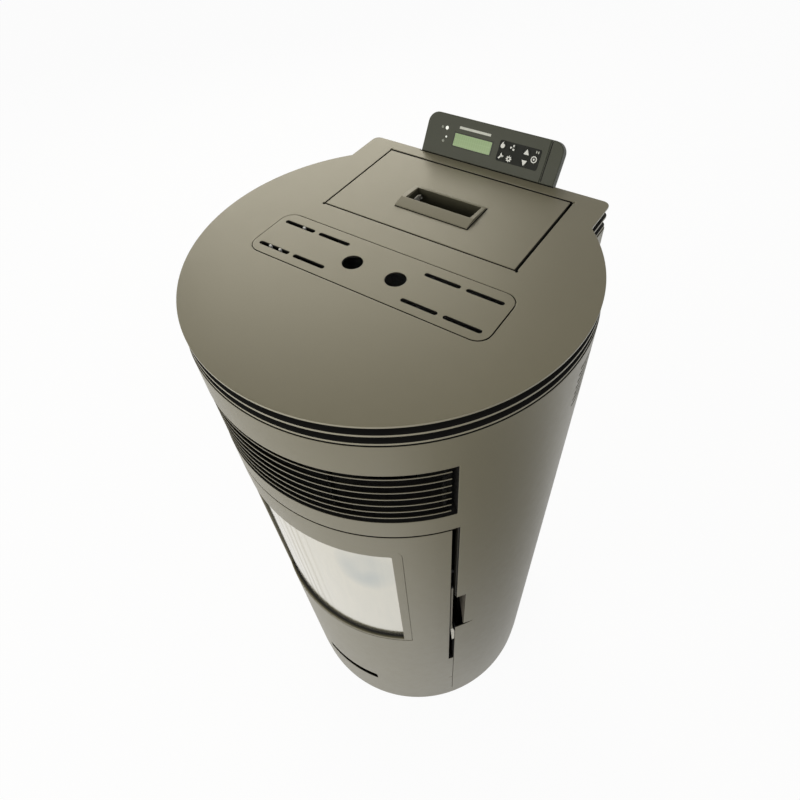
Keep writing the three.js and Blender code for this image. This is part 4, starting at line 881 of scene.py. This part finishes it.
# ---- Firebox and what stands in it ---------------------------------------------------------
# A welded steel box blackened by heat. A pressed mineral board lines the back, and the burn
# pot, the fire plate and the smoke baffle are cast iron.
soot_steel = Finish("sooty_steel", Metallic=0.3)
soot = soot_steel.noise(14.0, 6.0, 0.6)
soot_steel.feed("Base Color", soot_steel.blend(soot, (0.006, 0.006, 0.006, 1), (0.030, 0.027, 0.024, 1)))
soot_steel.feed("Roughness", soot * 0.3 + 0.5)
soot_steel.bump(soot_steel.noise(300.0, 4.0), 0.0002, 0.4)
soot_steel = soot_steel.material
cast_iron = Finish("cast_iron", Metallic=0.6, Roughness=0.75)
pores = cast_iron.noise(420.0, 5.0, 0.7)
cast_iron.feed("Base Color", cast_iron.blend(
    cast_iron.noise(25.0, 5.0), (0.012, 0.011, 0.010, 1), (0.05, 0.045, 0.04, 1)))
cast_iron.bump(pores, 0.0005, 0.7)
cast_iron = cast_iron.material
board = Finish("mineral_board", Roughness=0.95)
flakes = board.node("ShaderNodeTexVoronoi", {}, {
    "Vector": board.place(), "Scale": 260.0}, output="Distance")
courses = board.node("ShaderNodeTexBrick", {}, {
    "Vector": board.place((1, 1, 1), (math.radians(90), 0, 0)), "Scale": 1.0,
    "Color1": (0, 0, 0, 1), "Color2": (0, 0, 0, 1), "Mortar": (1, 1, 1, 1),
    "Mortar Size": 0.003, "Brick Width": 0.11, "Row Height": 0.045})
scorch = board.noise(9.0, 4.0)
board.feed("Base Color", board.blend(
    (scorch * 1.6 - 0.4).clamped(), (0.09, 0.07, 0.05, 1), (0.42, 0.33, 0.20, 1)))
board.bump(flakes * 0.3 - courses, 0.002, 0.8)
board = board.material
repaint(soot_steel, "firebox", "door_frame", "flue_spigot")
repaint(board, "back_liner")
repaint(cast_iron, "smoke_baffle", "fire_plate", "burn_pot")

# ---- Door skin -----------------------------------------------------------------------------
# The curved outer sheet of the door. A tall slot is left beside its right edge for the
# handle, and a long low slot near its foot lets room air in.
HINGE_EDGE = turn_of(4.0) - DOOR_EDGE
LATCH_EDGE = DOOR_EDGE - turn_of(1.0)
SLOT_EDGE = DOOR_EDGE - turn_of(10.5)
BEZEL_EDGE = 34.3
SKIN_LOW, SKIN_TOP = 45.5, 818.2
SLOT_LOW = 276
BEZEL_LOW, BEZEL_TOP = 421, 784
FOOT_SLOT_EDGE, FOOT_SLOT_LEVELS = 14.4, (122, 150)
hinge_side, latch_side, slot_side = along(HINGE_EDGE), along(LATCH_EDGE), along(SLOT_EDGE)
nick = along(LATCH_EDGE - 1.7)
skin_outline = [(hinge_side, SKIN_LOW), (latch_side, SKIN_LOW), (latch_side, 137.6), (nick, 137.6),
                (nick, 139.4), (latch_side, 139.4), (latch_side, SLOT_LOW), (slot_side, SLOT_LOW),
                (slot_side, SKIN_TOP), (hinge_side, SKIN_TOP)]
window_hole = rounded(along(-BEZEL_EDGE), along(BEZEL_EDGE), BEZEL_LOW, BEZEL_TOP, 22, 10, True)
foot_slot = rounded(along(-FOOT_SLOT_EDGE), along(FOOT_SLOT_EDGE), *FOOT_SLOT_LEVELS, 5, 5)
skin_returns = [rolled([rectangle(*box)], 8, CASING_RADIUS - 1) for box in (
    (hinge_side, slot_side, SKIN_TOP - 1.5, SKIN_TOP),
    (slot_side, latch_side, SLOT_LOW - 1.7, SLOT_LOW - 0.1))]
# The skin's inside and cut edges are painted black as painted shade.
piece("door_sheet", merged(
    rolled([skin_outline, window_hole, foot_slot], CASING_SHEET, CASING_RADIUS, 0.35), *skin_returns),
    (taupe, shade), "door", "casing_paint", "door_skin", where=within(CASING_RADIUS - 0.4))
# A black sheet behind the low slot is painted shade.
slot_back = [rectangle(along(-16.5), along(16.5), 114, 158)]
piece("foot_slot_shield", rolled(slot_back, 1, CASING_RADIUS - 9), shade, "door", "black_steel")

# ---- Window surround -----------------------------------------------------------------------
# A pressed surround with rounded upper corners, a hair below the skin, that turns in to the
# glass and ends in a narrow ledge under it.
WINDOW_EDGE = 31.0
GLASS_RADIUS = 244.0
WINDOW_LOW, WINDOW_TOP = 427, 761
bezel_side, window_side = along(BEZEL_EDGE), along(WINDOW_EDGE)
surround = rounded(0.3 - bezel_side, bezel_side - 0.3, BEZEL_LOW + 0.3, BEZEL_TOP - 0.3, 21.7, 10, True)
window_edge = rounded(-window_side, window_side, WINDOW_LOW, WINDOW_TOP, 3, 4, True)
window_wall = rounded(-window_side - 1.6, window_side + 1.6, WINDOW_LOW - 1.8, WINDOW_TOP + 1.6,
                      4.6, 4, True)
# The wall that turns in to the glass takes the pocket's darker paint, as painted shade.
piece("window_surround", merged(
    rolled([surround, window_edge], 2, CASING_RADIUS - 0.5, 0.7, 3),
    rolled([window_wall, window_edge], 10.4, CASING_RADIUS - 2.4, 0.3)),
    (taupe, pocket_shade_paint), "door", "casing_paint", "window_bezel", where=within(CASING_RADIUS - 2.6))
# The black sill under the glass is painted shade.
sill = [rectangle(0.1 - window_side, window_side - 0.1, WINDOW_LOW, WINDOW_LOW + 1.4)]
piece("glass_seal", rolled(sill, 2.2, GLASS_RADIUS + 2.3), shade, "door", "rope")

# ---- Glass ---------------------------------------------------------------------------------
# A curved pane of ceramic glass with a thin heat-reflecting coating, so it mirrors the room
# while the fire is out. Faint upright smears are left by smoke and wiping.
glass = Finish("coated_glass", Metallic=0.92, IOR=1.5)
smear = glass.noise(26.0, 3.0, 0.5, (9, 9, 0.6))
haze = glass.noise(7.0, 3.0)
across = glass.node("ShaderNodeSeparateXYZ", {}, [glass.node("ShaderNodeTexCoord", output="Object")])
height = glass.node("ShaderNodeSeparateXYZ", {}, [glass.node("ShaderNodeTexCoord", output="Object")],
                    output="Z")
streak = glass.node("ShaderNodeTexWave", {"bands_direction": "X"}, {
    "Vector": glass.place((1, 0, 0.10)), "Scale": 21.0, "Distortion": 4.0, "Detail": 2.0,
    "Detail Scale": 1.5}, output="Fac")
left_part = (across * -22 + 0.3).clamped() * (across * 9 + 1.35).clamped()
# Painted reflection: the pane is paler and warmer to the left and greyer to the right, with the smears
# mixed in.
reflection_and_smears = glass.blend((across * -3 + 0.5).clamped() * 0.6 + smear * 0.4,
                    (0.66, 0.65, 0.58, 1), (0.92, 0.87, 0.74, 1))
streaked = glass.blend(left_part * (1 - streak) ** 2.5, reflection_and_smears, (0.56, 0.52, 0.39, 1))
spot = (1.2 - ((across - 0.088) * 24) ** 2 - ((height - 0.70) * 14) ** 2).clamped()
cloud = (glass.noise(12.0, 3.0, 0.5, (1, 1, 0.5)) * 2.4 - 0.6).clamped()
glass.feed("Base Color", glass.blend(cloud * spot, streaked, (0.50, 0.54, 0.53, 1)))
glass.feed("Roughness", haze * 0.16 + smear * 0.10 + 0.02)
glass.feed("Alpha", haze * 0.05 + 0.93)
glass = glass.material
pane = [rounded(0.05 - window_side, window_side - 0.05, WINDOW_LOW + 0.1, WINDOW_TOP - 0.1, 3, 4)]
piece("window_pane", rolled(pane, 4, GLASS_RADIUS, 0.6, 3), glass, "door", "glass", "window_glass")

# ---- Door handle ---------------------------------------------------------------------------
# A bent steel strip that stands on edge in the slot, with a thumb tab at its lower end. It
# turns on a round shaft and ends in the latch hook behind the door.
HANDLE_PHI = LATCH_EDGE - turn_of(5.9)


def swept_y(profile, y0, y1):
    """A closed profile of (x, z) drawn out along Y."""
    bm = swept_x(profile, y0, y1)
    for vert in bm.verts:
        vert.co = (vert.co.y, vert.co.x, vert.co.z)
    bmesh.ops.recalc_face_normals(bm, faces=bm.faces)
    return bm


dull_steel = moulded("dull_steel", (0.24, 0.22, 0.17), 0.5, 0.00004, 0.3)
tab_steel = moulded("tab_steel", (0.74, 0.72, 0.64), 0.5, 0.00004, 0.1)
strip = carved(swept_x([(-248.5, 457), (-246.5, 455), (-240, 455), (-238, 457), (-238, 624), (-240, 626),
                        (-246.5, 626), (-248.5, 624)], -1.5, 1.5), soft=0.4)
tab = carved(swept_y([(-1.5, 470), (1.5, 470), (2.6, 452), (2.6, 441), (-1.2, 441)],
                     -248.5, -245.5), soft=0.4)
thumb = carved(swept_y([(-0.9, 444), (2.9, 444), (6.4, 430), (6.6, 388), (2.2, 386)], -249.4, -245.6))
hook = carved(block((-1.5, 1.5), (-240, -223), (618, 632)), soft=0.4)
shaft = turned([(0, 0), (3.6, 0), (4, 0.4), (4, 13.6), (3.6, 14), (0, 14)], 24)
piece("handle_strip",
      turned_to(merged(strip, tab, hook, aimed(shaft, (-13, -240, 614), (1, 0, 0))), HANDLE_PHI),
      (dull_steel, black_steel), "handle", "bare_steel", "door_handle",
      where=lambda middle, normal: middle.z > 600)
piece("thumb_tab", turned_to(thumb, HANDLE_PHI), tab_steel, "handle", "bare_steel")

# ---- Electrics -----------------------------------------------------------------------------
# The control box is a plain moulded case inside the bay. The mains inlet and its rocker
# share one snap-in bezel at the foot of the rear panel.
grey_plastic = moulded("grey_plastic", (0.066, 0.071, 0.049), 0.55)
black_plastic = moulded("black_plastic", (0.012, 0.013, 0.012), 0.38)
repaint(grey_plastic, "control_box")
repaint(black_plastic, "power_socket", "rocker_switch")
pin_profile = [(0, 0), (1.6, 0), (1.6, 9), (1.2, 9.8), (0, 9.8)]
pins = [aimed(turned(pin_profile, 12), (x, REAR_FACE - 13.8, z), (0, 1, 0))
        for x, z in ((-139, 83), (-134, 88), (-129, 83))]
piece("inlet_pins", merged(*pins), plain_steel, "stove", "bare_steel")

# ---- Console -------------------------------------------------------------------------------
# A moulded grey case that leans back from the rear edge of the top, held by a tongue that is
# screwed to the rear panel. Its face has a display, lamps and seven buttons.
LEAN = 30.8
FACE_LEFT, FACE_RIGHT, FACE_HEIGHT, FACE_CORNER = -101.3, 102.9, 54.6, 15
RAISED_RIGHT = 83.2
SLOPE = Matrix.Translation((0, REAR_REACH - 2.3, TOP)) @ Matrix.Rotation(math.radians(90 - LEAN), 4, "X")


def on_slope(bm):
    bmesh.ops.transform(bm, matrix=SLOPE, verts=bm.verts)
    return bm


def console_loop(inset, right=FACE_RIGHT):
    """The console's outline. The raised face stops short of the right end and is square there."""
    x0, x1, y1, r = FACE_LEFT + inset, right - inset, FACE_HEIGHT - inset, FACE_CORNER - inset
    upper_right = corner(x1 - r, y1 - r, r, 0, 8) if right == FACE_RIGHT else [(x1, y1)]
    return [(x0, inset), (x1, inset), *upper_right, *corner(x0 + r, y1 - r, r, 90, 8)]


case = cut_sheet([console_loop(0)], 14.5, 1.6, -16, 4)
raised = cut_sheet([console_loop(0.2, RAISED_RIGHT)], 3.4, 1.4, -3.4, 3)
# A thin black strip beside the raised face's right end is a painted shadow.
step_shadow = cut_sheet([rectangle(84.1, 85.3, 2.5, 52.5)], 0.3, 0.05, -1.55)
tongue = upright(cut_sheet([rounded(-60, 60, TOP - 90, TOP - 1, 4, 4)], 2, 0.4), REAR_FACE + 0.3)
# A black strip under the console's foot, along the top's edge, is painted shade.
shade_strip = cut_sheet([rectangle(-102.8, 104.4, 228.9, 233.6)], 1.4, 0.2, TOP - 2.9)
piece("console_shell", merged(on_slope(case), on_slope(raised), tongue), grey_plastic,
      "stove", "console_plastic", "console_case")
piece("console_foam", shade_strip, shade, "stove", "console_plastic")
piece("console_groove", on_slope(step_shadow), shade, "stove", "console_plastic")
scattered("tongue_screws", screw_head(3.2, 1.8)[0],
          [(x, REAR_FACE + 2.3, TOP - 78) for x in (-45, 0, 45)], black_steel, "stove", "black_steel")

# ---- Display -------------------------------------------------------------------------------
# A liquid-crystal window in a black surround. Its panel is pale green, with the faint grid
# of unlit character cells.
lcd = Finish("display_green", Roughness=0.22, Emission_Strength=0.12)
cells = lcd.node("ShaderNodeTexBrick", {"offset": 0.0}, {
    "Vector": lcd.place((1, 1, 1), (-math.radians(90 - LEAN), 0, 0)), "Scale": 1.0,
    "Color1": (1, 1, 1, 1), "Color2": (1, 1, 1, 1), "Mortar": (0, 0, 0, 1),
    "Mortar Size": 0.0003, "Brick Width": 0.0034, "Row Height": 0.0064})
lcd.feed("Base Color", lcd.blend(cells, (0.34, 0.48, 0.24, 1), (0.30, 0.43, 0.21, 1)))
lcd.feed("Emission Color", lcd.blend(cells, (0.30, 0.42, 0.19, 1), (0.27, 0.38, 0.17, 1)))
lcd = lcd.material
dark_frame = moulded("frame_plastic", (0.036, 0.038, 0.028), 0.45)
DISPLAY = (-54.0, 3.0, 17.0, 33.0)
display_edges = [rounded(-56.4, 5.6, 15.4, 34.6, 1.2, 3), rounded(*DISPLAY, 0.8, 3)]
piece("display_surround", on_slope(cut_sheet(display_edges, 1.2, 0.3, -1.0)), dark_frame,
      "stove", "key_plastic")
display_sheet = cut_sheet([rectangle(-54.5, 3.5, 16.8, 33.2)], 1.0, 0.1, -0.8)
piece("display_panel", on_slope(display_sheet), lcd, "stove", "display", "display_window")
pale_strip = moulded("pale_strip", (0.72, 0.74, 0.66), 0.5)
strip_sheet = cut_sheet([rectangle(-50, -1.5, 39.6, 42.8)], 0.35, 0.1, -0.1)
piece("face_strip", on_slope(strip_sheet), pale_strip, "stove", "console_plastic")

# ---- Buttons and lamps ---------------------------------------------------------------------
# Seven round domed buttons stand through a black membrane. White printed signs show flame,
# fan, service, settings, up, down and select. Four small lamps sit to the left.
KEYS = {"key_flame": (19.4, 33.8), "key_fan": (34.2, 33.4), "key_service": (20.4, 19.6),
        "key_settings": (32.9, 18.9), "key_up": (55.0, 32.4), "key_down": (55.2, 19.2),
        "key_select": (67.4, 26.0)}
SIGN_SIZE = {"key_up": 1.0, "key_down": 1.0, "key_select": 1.35}
COMMON_SIGN = 1.25
KEY_HOLE = 5.3
white_ink = moulded("white_ink", (0.92, 0.93, 0.88), 0.6)
membrane_black = moulded("membrane_black", (0.014, 0.016, 0.012), 0.75)
membrane = [rounded(14.2, 75.0, 13.3, 39.5, 2.5, 5)]
membrane += [ring_points(x, y, KEY_HOLE, 28) for x, y in KEYS.values()]
piece("button_membrane", on_slope(cut_sheet(membrane, 0.7, 0.2, -0.2)), membrane_black,
      "stove", "key_plastic")


def spun(outline, turn):
    """A sign's outline turned round its middle."""
    cos, sin = math.cos(math.radians(turn)), math.sin(math.radians(turn))
    return [(x * cos - y * sin, x * sin + y * cos) for x, y in outline]


TRIANGLE = [(-4.0, -3.0), (4.0, -3.0), (0, 4.0)]
FLAME = [(0, -3.3), (1.5, -2.8), (2.4, -1.5), (2.3, 0.2), (1.3, 1.5), (1.0, 0.5), (0.3, 1.6),
         (0.2, 3.4), (-0.9, 2.3), (-1.5, 0.9), (-2.3, -0.1), (-2.4, -1.6), (-1.4, -2.9)]
BLADE = [(0.3, 0.5), (1.5, 1.0), (1.9, 2.4), (0.9, 3.2), (-0.3, 2.6)]
SPANNER = [(-0.8, -3.2), (0.8, -3.2), (0.8, 0.4), (2.0, 1.3), (2.2, 3.2), (0.8, 2.1),
           (-0.8, 2.1), (-2.2, 3.2), (-2.0, 1.3), (-0.8, 0.4)]
GEAR = []
for tooth in range(8):
    for turn, radius in ((-14, 2.3), (-9, 3.3), (9, 3.3), (14, 2.3)):
        t = math.radians(45 * tooth + turn)
        GEAR.append((radius * math.cos(t), radius * math.sin(t)))
SIGNS = {
    "key_flame": [[FLAME]],
    "key_fan": [[spun(BLADE, 120 * i)] for i in range(3)],
    "key_service": [[spun(SPANNER, -40)]],
    "key_settings": [[GEAR, ring_points(0, 0, 1.1, 12)]],
    "key_up": [[TRIANGLE]],
    "key_down": [[spun(TRIANGLE, 180)]],
    "key_select": [[ring_points(0, 0, 3.2, 24), ring_points(0, 0, 2.2, 24)],
                   [ring_points(0, 0, 1.0, 12)]]}
button_profile = [(0, -4.0), (4.6, -4.0), (5, -3.6), (5, 0.45), (4.8, 0.68), (4.4, 0.8), (0, 0.82)]
for name, (x, y) in KEYS.items():
    button = turned(button_profile, 28)
    bmesh.ops.translate(button, verts=button.verts, vec=(x, y, 0))
    piece(name + "_button", on_slope(button), membrane_black, name, "key_plastic", name)
    size = SIGN_SIZE.get(name, COMMON_SIGN)
    marks = [cut_sheet([[(x + size * px, y + size * py) for px, py in loop] for loop in loops],
                       0.16, 0.03, 0.74, 1) for loops in SIGNS[name]]
    piece(name + "_sign", on_slope(merged(*marks)), white_ink, name, "key_plastic")


def lamp(radius, x, y):
    dome = turned([(0, -0.5), (radius, -0.5), (radius, 0.1), (radius * 0.7, 0.45), (0, 0.55)], 20)
    bmesh.ops.translate(dome, verts=dome.verts, vec=(x, y, 0))
    return dome


lamp_lit = Finish("lamp_lit", Roughness=0.3, Base_Color=(0.85, 0.88, 0.80, 1), Emission_Strength=0.5)
lamp_glow = lamp_lit.noise(900.0, 2.0)
lamp_lit.feed("Emission Color", lamp_lit.blend(lamp_glow, (0.8, 0.85, 0.75, 1), (1, 1, 0.95, 1)))
lamp_lit = lamp_lit.material
unlit_lamp = moulded("unlit_lamp", (0.36, 0.38, 0.32), 0.35)
piece("lamp_bright", on_slope(lamp(2.4, -69.2, 36.8)), lamp_lit, "stove", "display")
piece("lamp_small", on_slope(lamp(1.3, -67.3, 25.5)), lamp_lit, "stove", "display")
piece("lamps_off", on_slope(merged(lamp(1.7, -76.4, 36.8), lamp(1.9, -70.8, 19.6))), unlit_lamp,
      "stove", "display")
bars = [cut_sheet([rectangle(x, x + 1.3, 34.2, 37.0)], 0.25, 0.05, 0.4) for x in (67.5, 70.5)]
piece("small_mark", on_slope(merged(*bars)), pale_strip, "stove", "key_plastic")

# ---- Floor, light and camera ---------------------------------------------------------------
# A plain white floor that runs into a white surround, soft lamps above, and a camera that
# looks down on the stove from the front right.


def backdrop_rays(finish):
    """One for the rays that see the white backdrop: straight, mirrored or through glass."""
    camera, glossy, through = [finish.node("ShaderNodeLightPath", output=f"Is {kind} Ray")
                               for kind in ("Camera", "Glossy", "Transmission")]
    return (camera + glossy + through).clamped()


ground = bmesh.new()
bmesh.ops.create_grid(ground, x_segments=1, y_segments=1, size=30)
floor = placed("floor", mesh_of("floor", ground))
floor_paint = Finish("floor_white", Roughness=0.9, Specular_IOR_Level=0.1,
                     Base_Color=(0.92, 0.92, 0.92, 1))
spot = floor_paint.node("ShaderNodeTexCoord", output="Object")
along_x = floor_paint.node("ShaderNodeSeparateXYZ", {}, [spot])
along_y = floor_paint.node("ShaderNodeSeparateXYZ", {}, [spot], output="Y")
mirrored = floor_paint.node("ShaderNodeLightPath", output="Is Glossy Ray")
# Seen in reflections the floor is dimmed round a spot to the front right and kept below full white:
# painted shade on the casing.
away = (along_x - 0.85) ** 2 * 2.5 + (along_y + 0.15) ** 2 * 1.04 + 0.06
painted_reflection_level = away.clamped() * 0.9
white = floor_paint.node("ShaderNodeEmission", {}, {
    "Color": (1, 1, 1, 1), "Strength": 1 - mirrored * (1 - painted_reflection_level)})
shown = floor_paint.node("ShaderNodeMixShader", {}, {
    0: backdrop_rays(floor_paint) * 0.95, 1: Wire(floor_paint, floor_paint.shader.outputs[0]),
    2: white})
floor_paint.tree.links.new(shown.socket, floor_paint.tree.nodes["Material Output"].inputs["Surface"])
floor.data.materials.append(floor_paint.material)

world = bpy.data.worlds.new("room")
bpy.context.scene.world = world
world.use_nodes = True
sky = Nodes(world.node_tree, "Background")
sky.shader.inputs["Color"].default_value = (1, 1, 1, 1)
height = sky.node("ShaderNodeSeparateXYZ", {}, [sky.node("ShaderNodeTexCoord", output="Generated")],
                  output="Z")
straight = sky.node("ShaderNodeLightPath", output="Is Camera Ray")
fading = (1 - height * 1.15).clamped() * 0.5 + 0.23
sky.feed("Strength", straight + (1 - straight) * fading)


def lamp_at(name, place, target, side, power, colour):
    """A square soft lamp that looks at a target."""
    light = bpy.data.lights.new(name, "AREA")
    light.shape = "RECTANGLE"
    light.size = light.size_y = side
    light.energy = power
    light.color = colour
    made = placed(name, light)
    made.location = place
    made.rotation_euler = (Vector(target) - Vector(place)).to_track_quat("-Z", "Y").to_euler()


lamp_at("window_light", (-1.9, 1.9, 2.35), (0, 0, 1.0), 2.1, 41, (1.0, 0.94, 0.77))
lamp_at("fill_light", (-0.9, -2.9, 1.8), (0, 0, 0.5), 1.8, 38, (1.0, 0.96, 0.86))

AZIMUTH, ELEVATION, ROLL = math.radians(37.95), math.radians(50.82), -0.088
FOCAL_PIXELS, PICTURE_PIXELS, SENSOR = 590.6, 800, 36.0
EYE = (352.75, AXIS_Y - 454.39, TOP + 437.14)
back = Vector((math.sin(AZIMUTH) * math.cos(ELEVATION), -math.cos(AZIMUTH) * math.cos(ELEVATION),
               math.sin(ELEVATION)))
level = (-back).cross(Vector((0, 0, 1))).normalized()
upwards = level.cross(-back)
right = level * math.cos(ROLL) + upwards * math.sin(ROLL)
up = upwards * math.cos(ROLL) - level * math.sin(ROLL)
camera = placed("camera", bpy.data.cameras.new("camera"))
camera.data.sensor_width = SENSOR
camera.data.lens = FOCAL_PIXELS / PICTURE_PIXELS * SENSOR
camera.matrix_world = Matrix((
    (right.x, up.x, back.x, EYE[0] / 1000),
    (right.y, up.y, back.y, EYE[1] / 1000),
    (right.z, up.z, back.z, EYE[2] / 1000),
    (0, 0, 0, 1)))
bpy.context.scene.camera = camera
bpy.context.scene.view_settings.view_transform = "Standard"
